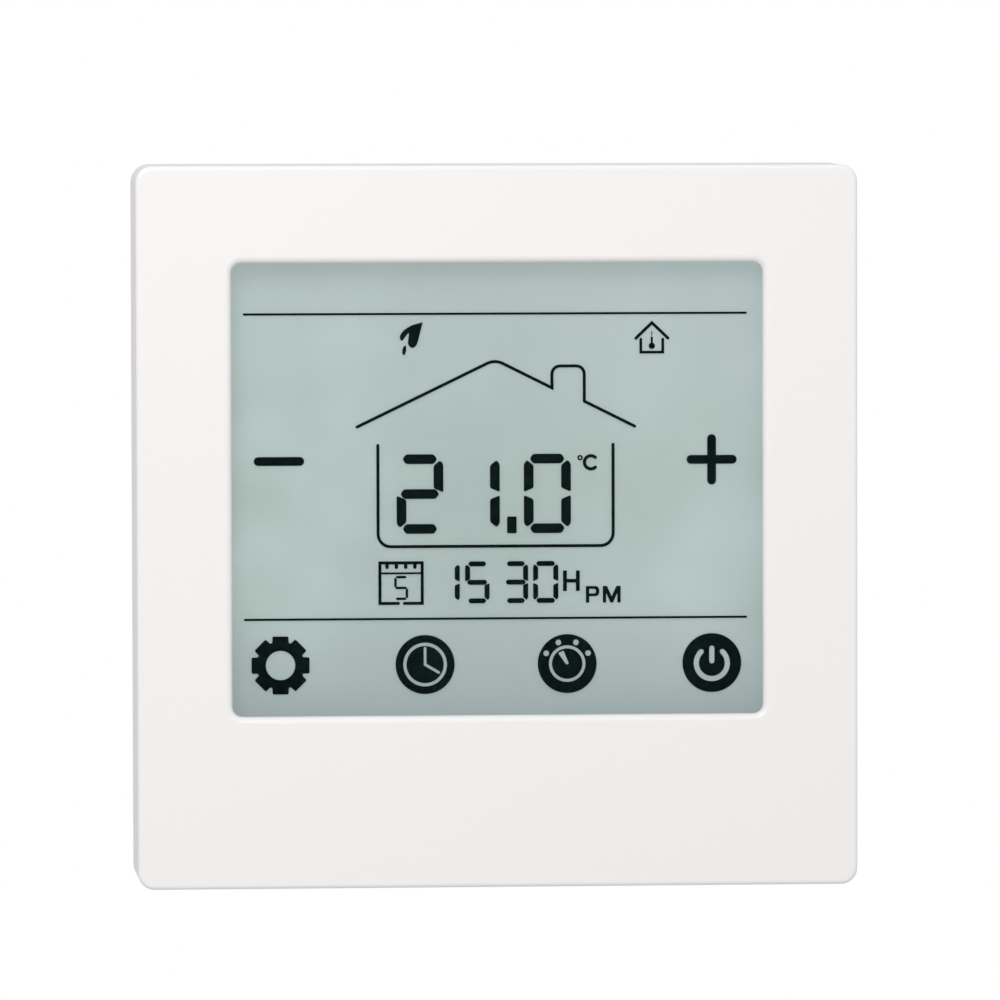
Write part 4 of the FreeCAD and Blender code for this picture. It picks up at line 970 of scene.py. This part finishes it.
@dataclass
class Display(Assembly):
    """The touch panel and the layers behind it, from the gasket to the reflector."""

    bevel: float = 0.12
    corner: float = 0.4
    cell_gap: float = 0.05
    dot: Mound = Mound(0.3, 0.2, 0.2)
    dot_pitch: float = 1.6
    dot_depth: float = 0.25
    nodes: tuple[str, ...] = (
        "touch_panel",
        "display_gasket",
        "rear_polariser",
        "diffuser_film",
        "light_guide",
        "reflector_film",
        "lcd_holder",
        "backlight_leds",
        "contact_strips",
        "touch_flex",
    )

    def rim(self, node: str, out: float, inset: float) -> list[Vector]:
        """Give one rim of the bonded cell.

        Args:
            node: the CAD layer that sets the rim's size.
            out: how far the rim stands out from the wall, in millimetres.
            inset: how far it is drawn in, in millimetres.

        Returns:
            The rim's points, in metres.
        """
        low, high = (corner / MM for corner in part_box(node))
        corners = oblong(low.x + inset, high.x - inset, low.z + inset, high.z - inset)
        return [Vector((x * MM, -out * MM, z * MM)) for x, z in rounded(corners, self.corner)]

    def build_cell(self) -> None:
        """Build the two display glasses and their front film as one bonded, stepped slab."""
        layers = ("lcd_rear_glass", "lcd_front_glass", "front_polariser")
        rims: list[list[Vector]] = []
        for node in layers:
            low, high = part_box(node)
            back, front = -high.y / MM, -low.y / MM
            bevel = min(self.bevel, (front - back) / 4)
            start = back + self.cell_gap if node == layers[0] else back
            sides = ((start, bevel), (start + bevel, 0.0), (front - bevel, 0.0), (front, bevel))
            rims += [self.rim(node, out, inset) for out, inset in sides]
        mesh = bmesh.new()
        add_loft(mesh, rims)
        glass = link_mesh("lcd_cell", mesh, self.paints.get("cell_glass"))
        cell = finish_piece(glass, "front_unit")
        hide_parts(*layers)

    def build_guide_dots(self) -> None:
        """Print the light guide's back with a grid of small dots."""
        low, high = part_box("light_guide")
        pitch = self.dot_pitch * MM
        columns = int((high.x - low.x) / pitch) - 1
        rows = int((high.z - low.z) / pitch) - 1
        middle = (low + high) / 2
        level = high.y - self.dot_depth * MM
        across = [middle.x + (i - (columns - 1) / 2) * pitch for i in range(columns)]
        up = [middle.z + (j - (rows - 1) / 2) * pitch for j in range(rows)]
        points = [Vector((x, level, z)) for x in across for z in up]
        self.dot.build("guide_dots", points, self.paints.get("white_film"), "front_unit", "white_film")


@dataclass
class Readout:
    """The dark parts of the liquid crystal: rules, symbols, digits and touch symbols."""

    paints: Paints
    thick: float = 0.05
    depth: float = 0.25
    line: float = 0.37
    rise: float = 4.45
    touch_row: float = -16.55
    button: float = 3.52
    shapes: list[list[Loop]] = field(default_factory=list)

    def ink(self, *loops: Loop) -> None:
        """Add one dark shape: its outline, then any clear shapes inside it."""
        self.shapes.append(list(loops))

    def pen(self, path: Sequence[Point], width: float) -> None:
        """Draw one dark line along a path."""
        self.ink(stroke(path, width))

    def write(self, digits: Sequence[Digit]) -> None:
        """Draw every lit bar of a row of digits."""
        for loop in (bar for digit in digits for bar in digit.bars()):
            self.ink(loop)

    def draw_rules(self) -> None:
        """Draw the two long rules."""
        for z in (25.15, -11.1):
            self.pen([(-29.85, z), (29.9, z)], 0.27)

    def draw_leaf(self) -> None:
        """Draw the leaf that stands for the saving setting."""
        edge = [
            (-8.63, 24.17), (-9.95, 23.8), (-10.9, 23.23), (-11.42, 22.48), (-11.18, 21.8),
            (-10.24, 23.02), (-10.42, 21.5), (-9.9, 21.0), (-9.34, 21.4), (-8.99, 22.67),
        ]  # fmt: skip
        self.ink(rounded(edge, 0.35, 4, kept=(0,)))
        drop = [(-10.62, 21.5), (-10.58, 20.75), (-10.85, 20.15), (-11.1, 20.5), (-11.0, 21.2)]
        self.ink(rounded(drop, 0.2, 3))

    def draw_small_house(self) -> None:
        """Draw the small house with a thermometer in it."""
        self.pen([(16.76, 22.15), (18.68, 24.0), (20.6, 22.17)], 0.36)
        self.pen([(17.36, 22.05), (17.36, 20.5), (19.98, 20.5), (19.98, 22.05)], 0.33)
        bulb = arc(18.67, 21.25, 0.38, 110, 430, 20)
        self.ink([*bulb, (18.8, 22.35), (18.54, 22.35)])
        self.pen([(18.67, 22.5), (18.67, 22.95)], 0.12)

    def draw_house(self) -> None:
        """Draw the roof with its chimney and the room's outline."""
        ridge = arc(-0.05, 17.35, 2.1, 116, 64, 10)
        left_pot = arc(7.7, 17.95, 0.95, 180, 90, 6)
        right_pot = arc(9.65, 17.95, 0.95, 90, 0, 6)
        roof = [(-16.46, 11.75), *ridge, (6.75, 16.3), *left_pot, *right_pot, (10.6, 14.7), (16.61, 11.7)]
        self.pen(roof, self.line)
        left_foot = arc(-12.5, -1.0, 1.5, 180, 270, 8)
        right_foot = arc(12.52, -1.0, 1.5, 270, 360, 8)
        self.pen([(-14.0, 9.55), *left_foot, *right_foot, (14.02, 9.55)], self.line)

    def draw_temperature(self) -> None:
        """Draw the large figures, their point and the degree sign."""
        low, high, thick = -0.98, 8.47, 1.16
        figures = ((-11.79, -6.22, "abged"), (-5.1, 0.5, "bc"), (3.37, 8.98, "abcdef"))
        self.write([Digit(left, right, low, high, thick, lit) for left, right, lit in figures])
        self.ink(rounded(oblong(1.36, 2.5, low, 1.02), 0.16))
        self.ink(disc(10.08, 7.98, 0.33, 24), disc(10.08, 7.98, 0.14, 16))
        self.pen(arc(11.38, 7.42, 0.78, 48, 312, 24), 0.4)

    def draw_calendar(self) -> None:
        """Draw the calendar leaf with its day figure."""
        left, right, foot, top = -13.8, -8.77, -9.25, -4.43
        leaf = [(-11.6, foot), (left, foot), (left, top), (right, top), (right, foot), (-10.9, foot)]
        self.pen(leaf, self.line)
        self.pen([(left + 0.19, -5.67), (right - 0.19, -5.67)], 0.24)
        for x in (-12.95, -11.84, -10.73, -9.64):
            self.pen([(x, top - 0.2), (x, -4.95)], 0.42)
        self.write([Digit(-12.1, -10.45, -8.85, -5.97, 0.3, "afgcd")])

    def draw_time(self) -> None:
        """Draw the time of day and its two unit marks."""
        low, high, thick = -9.3, -4.3, 0.6
        hours = ((-7.3, -4.29, "bc"), (-3.66, -0.75, "afgcd"))
        minutes = ((0.94, 3.86, "abgcd"), (4.45, 7.46, "abcdef"))
        self.write([Digit(left, right, low, high, thick, lit) for left, right, lit in hours + minutes])
        self.draw_hour_mark(8.02, 10.02, -7.9, -5.45)
        self.draw_half_day_mark(10.75, -9.3, -7.32)

    def draw_hour_mark(self, x0: float, x1: float, z0: float, z1: float) -> None:
        """Draw the hour letter in its box.

        Args:
            x0: the box's left side.
            x1: its right side.
            z0: its foot.
            z1: its top.
        """
        stem, bar, mid = 0.46, 0.22, (z0 + z1) / 2
        a, b = x0 + stem, x1 - stem
        low, high = mid - bar, mid + bar
        letter = [
            (x0, z0), (a, z0), (a, low), (b, low), (b, z0), (x1, z0),
            (x1, z1), (b, z1), (b, high), (a, high), (a, z1), (x0, z1),
        ]  # fmt: skip
        self.ink(letter)

    def draw_half_day_mark(self, x: float, z0: float, z1: float) -> None:
        """Draw the two letters for the afternoon.

        Args:
            x: their left edge.
            z0: their foot.
            z1: their top.
        """
        stem, bowl, wide = 0.4, z1 - 1.22, x + 1.6
        outline = [(x, z0), (x, z1), (wide, z1), (wide, bowl), (x + stem, bowl), (x + stem, z0)]
        near, far, rim = x + stem, wide - 0.4, 0.34
        hole = [(near, z1 - rim), (far, z1 - rim), (far, bowl + rim), (near, bowl + rim)]
        self.ink(rounded(outline, 0.55, kept=(0, 1, 4, 5)), rounded(hole, 0.25, kept=(0, 3)))
        a, b = x + 2.02, x + 4.15
        mid = (a + b) / 2
        notch = z1 - 0.85
        letter = [
            (a, z0), (a, z1), (a + 0.5, z1), (mid, z0 + 0.75), (b - 0.5, z1), (b, z1), (b, z0),
            (b - stem, z0), (b - stem, notch), (mid + 0.16, z0), (mid - 0.16, z0),
            (a + stem, notch), (a + stem, z0),
        ]  # fmt: skip
        self.ink(letter)

    def draw_signs(self) -> None:
        """Draw the minus and plus touch signs."""
        z, thick, reach = 7.7, 1.06, 3.0
        half, x = thick / 2, 25.8
        self.pen([(-28.76 + half, z), (-22.75 - half, z)], thick)
        arm = [*arc(x + reach - half, z, half, -90, 90, 10), (x + half, z + half)]
        quarters = (0.0, math.pi / 2, math.pi, math.pi * 1.5)
        self.ink([turned(point, x, z, turn) for turn in quarters for point in arm])

    def draw_gear(self, x: float, z: float) -> None:
        """Draw the settings gear.

        Args:
            x: its middle, to the right.
            z: its middle, up.
        """
        teeth, tip, root, hole = 8, 3.58, 2.86, 1.74
        tooth = [(root, -20.0), (tip, -15.5), (tip, 15.5), (root, 20.0)]
        loop: Loop = []
        for i in range(teeth):
            for radius, swing in tooth:
                turn = math.radians(360 / teeth * i + swing)
                loop.append((x + radius * math.cos(turn), z + radius * math.sin(turn)))
        self.ink(rounded(loop, 0.18, 3), disc(x, z, hole))

    def draw_clock(self, x: float, z: float) -> None:
        """Draw the timer clock.

        Args:
            x: its middle, to the right.
            z: its middle, up.
        """
        self.ink(disc(x, z, self.button), disc(x, z, 2.6))
        hands = stroke([(x, z + 1.95), (x, z), (x + 1.62, z - 0.95)], 0.32)
        self.ink(disc(x, z, 2.22), hands)

    def draw_dial(self, x: float, z: float) -> None:
        """Draw the heating dial.

        Args:
            x: its middle, to the right.
            z: its middle, up.
        """
        across, up, mark, well, knob = 2.8, 2.72, 0.34, 2.18, 1.82
        turns = [math.radians(degrees) for degrees in (-63, -22, 22, 63)]
        marks = [disc(x + across * math.sin(a), z + up * math.cos(a), mark, 20) for a in turns]
        self.ink(disc(x, z, self.button), disc(x, z, well), *marks)
        tip = Vector((x - 0.78, z + 1.45))
        left, right = (tip.x - 0.3, tip.y - 0.18), (tip.x + 0.34, tip.y + 0.1)
        pointer = rounded([(x - 0.1, z - 0.12), (x + 0.2, z), right, left], 0.12, 3)
        self.ink(disc(x, z, knob), pointer)

    def draw_power(self, x: float, z: float) -> None:
        """Draw the on and off mark.

        Args:
            x: its middle, to the right.
            z: its middle, up.
        """
        width = 0.62
        ring = stroke(arc(x, z - 0.05, 1.86, 133, 407, 48), width)
        bar = stroke([(x, z + 1.72), (x, z + 0.2)], width)
        self.ink(disc(x, z, self.button), ring, bar)

    def build(self) -> None:
        """Draw every shape and set them in the middle of the cell."""
        self.draw_rules()
        self.draw_leaf()
        self.draw_small_house()
        self.draw_house()
        self.draw_temperature()
        self.draw_calendar()
        self.draw_time()
        self.draw_signs()
        self.draw_gear(-25.65, self.touch_row)
        self.draw_clock(-8.45, self.touch_row)
        self.draw_dial(8.5, self.touch_row)
        self.draw_power(25.8, self.touch_row)
        low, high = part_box("touch_panel")
        shift = Matrix.Translation(((low.x + high.x) / 2, 0.0, (low.z + high.z) / 2 - self.rise * MM))
        plane = -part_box("lcd_rear_glass")[1].y / MM + self.depth
        mesh = bmesh.new()
        for loops in self.shapes:
            add_prism(mesh, loops, plane, plane + self.thick)
        bmesh.ops.transform(mesh, matrix=shift, verts=mesh.verts)
        segments = link_mesh("display_segments", mesh, self.paints.get("segment_ink", INK))
        finish_piece(segments, "front_unit")


@dataclass
class ControlBoard(Assembly):
    """The board behind the display, with what is soldered to it."""

    nodes: tuple[str, ...] = (
        "control_board",
        "microcontroller",
        "lcd_driver",
        "crystal",
        "backup_cell",
        "cell_clip",
        "sounder",
        "room_sensor",
        "small_parts",
        "pin_header",
        "header_pins",
    )


@dataclass
class WallHalf(Assembly):
    """The steel wall plate and the power box behind it."""

    nodes: tuple[str, ...] = ("wall_plate", "power_box", "box_screws")


@dataclass
class PowerBoard(Assembly):
    """The board in the power box, with its components and solder joints."""

    nodes: tuple[str, ...] = (
        "power_board",
        "board_socket",
        "transformer_core",
        "transformer_winding",
        "capacitors",
        "film_capacitor",
        "varistor",
        "fuse_link",
    )
    joint: Mound = Mound(0.95, 0.35, 0.6)
    joint_rise: float = 0.3
    large_can: Span = (4.0, 1.75)
    small_can: Span = (3.15, 1.25)

    def build_solder(self) -> None:
        """Put a solder joint on the room side of the board behind each lead.

        Each can is given by its radius and by half the distance between its leads.
        """
        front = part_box("power_board")[0].y
        spots: list[Point] = []
        for node, across, up in (
            ("transformer_core", 0.8, 0.75),
            ("film_capacitor", 0.75, 0.0),
            ("fuse_link", 0.6, 0.0),
            ("varistor", 0.0, 0.55),
        ):
            low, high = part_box(node)
            mid, half = (low + high) / 2, (high - low) / 2
            ends = {
                (mid.x + half.x * across * side, mid.z + half.z * up * rise)
                for side in (-1, 1)
                for rise in (-1, 1)
            }
            spots += sorted(ends)
        low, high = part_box("capacitors")
        mid_z = (low.z + high.z) / 2
        cans = ((low.x, 1, self.large_can), (high.x, -1, self.small_can))
        for side, way, (radius, lead) in cans:
            x = side + way * radius * MM
            spots += [(x - lead * MM, mid_z), (x + lead * MM, mid_z)]
        points = [Vector((x, front - self.joint_rise * MM, z)) for x, z in spots]
        self.joint.build("solder_joints", points, self.paints.get("can_steel"), "wall_unit", "can_steel")


@dataclass
class Relay(Assembly):
    """The relay that switches the heating, with its wound coil."""

    nodes: tuple[str, ...] = (
        "relay_base",
        "relay_case",
        "relay_coil_former",
        "relay_iron",
        "relay_contacts",
        "relay_armature",
    )
    wire: float = 0.14
    pitch: float = 2.02
    runs: int = 28
    sides: int = 6

    def build_winding(self) -> None:
        """Wind the coil: one wire laid in a helix on the former."""
        low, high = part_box("relay_winding")
        wire = self.wire * MM
        length = high.x - low.x - wire * 2
        recipe = Recipe("wound wire", ("Radius", "Length", "Turns", "Wire"), "Middle")
        spiral = {"Resolution": self.runs, "Rotations": "Turns", "Height": "Length"}
        spiral |= {"Start Radius": "Radius", "End Radius": "Radius"}
        helix = recipe.add("GeometryNodeCurveSpiral", spiral)
        place = {"Geometry": helix.outputs[0], "Rotation": (0.0, math.pi / 2, 0.0), "Translation": "Middle"}
        laid = recipe.add("GeometryNodeTransform", place)
        round_wire = {"Radius": "Wire", "Resolution": self.sides}
        section = recipe.add("GeometryNodeCurvePrimitiveCircle", round_wire)
        sweep = {"Curve": laid.outputs[0], "Profile Curve": section.outputs[0], "Fill Caps": True}
        recipe.end(recipe.add("GeometryNodeCurveToMesh", sweep).outputs[0])
        values = {
            "Radius": (high.z - low.z) / 2 - wire,
            "Length": length,
            "Turns": length / (wire * self.pitch),
            "Wire": wire,
            "Middle": (low.x + wire, (low.y + high.y) / 2, (low.z + high.z) / 2),
            "Material": self.paints.get("coil_copper"),
        }
        winding = recipe.run("relay_winding_wire", [], values, "wall_unit", "coil_copper")
        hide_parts("relay_winding")


@dataclass
class Markings:
    """Numbers beside the terminals and a wiring diagram printed on the power box."""

    paints: Paints
    ways: int = 6
    figure: float = 1.7
    pen: float = 0.3
    raised: float = 0.06
    sunk: float = 0.05

    border: tuple[float, float, float, float] = (-19.0, 19.0, -9.5, 15.5)
    border_pen: float = 0.4

    def ways_across(self) -> list[float]:
        """Give the distance of each way's screw from the middle, in millimetres."""
        boxes = [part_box(f"terminal_screw_{i}") for i in range(1, self.ways + 1)]
        return [(low.x + high.x) / 2 / MM for low, high in boxes]

    def figure_at(self, number: int, x: float, z: float, tall: float) -> list[Loop]:
        """Give a numeral's strokes, to be read from behind the timer.

        Args:
            number: the numeral.
            x: its middle.
            z: its foot.
            tall: its height.

        Returns:
            The strokes' outlines.
        """
        return [
            stroke([(x - (px - 0.3) * tall, z + pz * tall) for px, pz in path], self.pen, 4)
            for path in numeral(number)
        ]

    def print_on(
        self, name: str, shapes: Sequence[Sequence[Loop]], wall: float, ink: Finish
    ) -> None:
        """Lay flat shapes on a face that looks away from the room.

        Args:
            name: the piece's name.
            shapes: the shapes in millimetres.
            wall: how far behind the wall's surface the face lies, in millimetres.
            ink: the finish of the shapes.
        """
        mesh = bmesh.new()
        for shape in shapes:
            add_prism(mesh, shape, -wall - self.raised, -wall + self.sunk)
        finish_piece(link_mesh(name, mesh, self.paints.get(name, ink)), "wall_unit")

    def build_numbers(self) -> None:
        """Number the six ways beside their screws."""
        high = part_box("terminal_block")[1]
        screw_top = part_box("terminal_screw_1")[1].z
        foot = (screw_top + high.z) / 2 / MM - self.figure / 2
        strokes: list[list[Loop]] = []
        for number, x in enumerate(self.ways_across(), start=1):
            strokes += [[loop] for loop in self.figure_at(number, x, foot, self.figure)]
        self.print_on("terminal_numbers", strokes, high.y / MM, WHITE_PRINT)

    def build_diagram(self) -> None:
        """Print the wiring diagram: six numbered lines, a supply, a switched load and a sensor."""
        wall = (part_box("power_box")[1] / MM).y
        left, right, foot, top = self.border
        rim = rounded(oblong(left, right, foot, top), 1.5)
        pen, line = self.pen, self.border_pen
        inner = rounded(oblong(left + line, right - line, foot + line, top - line), 1.2)
        shapes: list[list[Loop]] = [[rim, inner]]
        ways = self.ways_across()
        ring, figure, bus = foot + 2.2, foot + 3.7, foot + 6.4
        low, high, half_gap = 6.0, 8.2, 0.9
        for number, x in enumerate(ways, start=1):
            shapes.append([disc(x, ring, 0.85, 28), disc(x, ring, 0.5, 24)])
            shapes += [[loop] for loop in self.figure_at(number, x, figure, 1.8)]
        for pair, rise in ((0, low), (2, high), (4, low)):
            a, b = ways[pair], ways[pair + 1]
            mid, top_line = (a + b) / 2, bus + rise
            shapes.append([stroke([(a, bus), (a, top_line), (mid - half_gap, top_line)], pen)])
            shapes.append([stroke([(b, bus), (b, top_line), (mid + half_gap, top_line)], pen)])
        supply, switch, probe = ((ways[i] + ways[i + 1]) / 2 for i in (0, 2, 4))
        level = bus + low
        shapes.append([disc(supply, level, 1.2, 32), disc(supply, level, 0.9, 28)])
        wave = [(supply - 0.6 + 0.1 * k, level + 0.35 * math.sin(k * math.pi / 6)) for k in range(13)]
        shapes.append([stroke(wave, 0.2, 4)])
        shapes.append([stroke([(switch - 0.75, bus + high), (switch + 0.7, bus + 9.3)], pen)])
        box = oblong(probe - 1.2, probe + 1.2, bus + 5.4, bus + 6.6)
        hole = [(x * 0.8 + probe * 0.2, z * 0.62 + level * 0.38) for x, z in box]
        shapes.append([box, hole])
        self.print_on("wiring_diagram", shapes, wall, GREY_PRINT)


@dataclass
class Terminals(Assembly):
    """The six-way terminal block with its screws and clamp cages."""

    nodes: tuple[str, ...] = ("terminal_block", "terminal_tongues")
    ways: int = 6

    def dress(self) -> None:
        """Give the block, tongues, screws and cages their finishes."""
        super().dress()
        for i in range(1, self.ways + 1):
            self.paints.dress((f"terminal_screw_{i}", f"clamp_cage_{i}"))


@dataclass(frozen=True)
class Lamp:
    """One soft square light: its place and side in metres, and its power in watts."""

    name: str
    place: tuple[float, float, float]
    side: float
    power: float

    def hang(self) -> None:
        """Hang the light so that it faces the timer, unseen by the camera."""
        data = bpy.data.lights.new(self.name, "AREA")
        data.shape = "SQUARE"
        data.size = self.side
        data.energy = self.power
        light = link_object(self.name, data)
        light.visible_camera = False
        place = Vector(self.place)
        turn = place.to_track_quat("Z", "Y").to_matrix().to_4x4()
        light.matrix_world = Matrix.Translation(place) @ turn


@dataclass
class Studio:
    """The pale floor, the soft lights and the camera."""

    paints: Paints
    lens: float = 273.9
    film: float = 36.0
    stand: Vector = field(default_factory=lambda: Vector((-63.07, -911.92, 42.34)) * MM)
    ahead: Vector = field(default_factory=lambda: Vector((0.0703, 0.9966, -0.0435)))
    over: Vector = field(default_factory=lambda: Vector((0.0054, 0.04326, 0.99904)))
    room_front: Colour = WHITE
    room_back: Colour = (0.68, 0.68, 0.69)
    room_below: Colour = (0.86, 0.82, 0.79)
    room_above: Colour = WHITE
    room_fade: Span = (-0.9, 0.5)
    lamps: tuple[Lamp, ...] = (
        Lamp("key", (-0.085, -0.265, 0.155), 0.09, 0.23),
        Lamp("fill", (-0.9, -2.6, 1.05), 0.9, 6.0),
    )
    floor_drop: float = 0.24
    floor_reach: float = 2.0
    floor_edge: tuple[Span, ...] = ((0.0, 0.02), (0.0, 0.002), (0.002, 0.0))

    def build_camera(self) -> None:
        """Set up the camera on its line of sight."""
        data = bpy.data.cameras.new("camera")
        data.sensor_width = self.film
        data.lens = self.lens
        data.clip_start = 0.01
        data.clip_end = 50.0
        camera = link_object("camera", data)
        back = -self.ahead.normalized()
        right = self.over.cross(back).normalized()
        up = back.cross(right)
        turn = Matrix((right, up, back)).transposed().to_4x4()
        camera.matrix_world = Matrix.Translation(self.stand) @ turn
        bpy.context.scene.camera = camera

    def build_floor(self) -> None:
        """Lay a wide pale floor below the timer."""
        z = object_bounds()[0][2] - self.floor_drop
        rims = [
            [Vector((x, y, z - drop)) for x, y in disc(0.0, 0.0, self.floor_reach - inset, 128)]
            for inset, drop in self.floor_edge
        ]
        mesh = bmesh.new()
        add_loft(mesh, rims)
        floor = link_mesh("floor", mesh, self.paints.get("floor", FLOOR_PAINT))
        floor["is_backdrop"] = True

    def build_room(self) -> None:
        """Make the room's light: bright before the timer and above it, dimmer behind and warmer below."""
        world = bpy.data.worlds.new("room")
        world.use_nodes = True
        tree = Nodes(world.node_tree)
        heading = tree.add("ShaderNodeTexCoord").outputs["Generated"]
        split = tree.add("ShaderNodeSeparateXYZ", {"Vector": heading})
        shades = [
            tree.mix(tree.spread(split.outputs[axis], 0.0, 1.0, *self.room_fade), low, high)
            for axis, low, high in (
                ("Y", self.room_front, self.room_back),
                ("Z", self.room_below, self.room_above),
            )
        ]
        room = tree.add("ShaderNodeBackground", {"Color": tree.mix(1.0, *shades, "MULTIPLY")})
        plain = tree.add("ShaderNodeBackground", {"Color": (*WHITE, 1.0)})
        seen = tree.add("ShaderNodeLightPath").outputs["Is Camera Ray"]
        choice = tree.add("ShaderNodeMixShader", {"Fac": seen, 1: room.outputs[0], 2: plain.outputs[0]})
        tree.add("ShaderNodeOutputWorld", {"Surface": choice.outputs[0]})
        bpy.context.scene.world = world

    def build_lights(self) -> None:
        """Make the room's light, the key light near the timer and the far fill light."""
        self.build_room()
        for lamp in self.lamps:
            lamp.hang()
        bpy.context.scene.view_settings.view_transform = "Standard"

    def build(self) -> None:
        """Build the whole studio."""
        self.build_camera()
        self.build_floor()
        self.build_lights()


def main() -> None:
    """Build the timer around its frame, part by part."""
    logging.basicConfig(level=logging.INFO, format="%(name)s: %(message)s")
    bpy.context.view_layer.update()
    paints = Paints()
    Studio(paints).build()
    LOG.info("studio ready")
    FrontShell(paints).dress()
    LOG.info("front shell dressed")
    display = Display(paints)
    display.dress()
    display.build_cell()
    display.build_guide_dots()
    LOG.info("display layers built")
    readout = Readout(paints)
    readout.build()
    LOG.info("readout drawn with %d shapes", len(readout.shapes))
    ControlBoard(paints).dress()
    WallHalf(paints).dress()
    LOG.info("control board and wall half dressed")
    board = PowerBoard(paints)
    board.dress()
    board.build_solder()
    LOG.info("power board soldered")
    relay = Relay(paints)
    relay.dress()
    relay.build_winding()
    LOG.info("relay wound")
    Terminals(paints).dress()
    markings = Markings(paints)
    markings.build_numbers()
    markings.build_diagram()
    LOG.info("terminals dressed and marked")


if __name__ == "__main__":
    main()
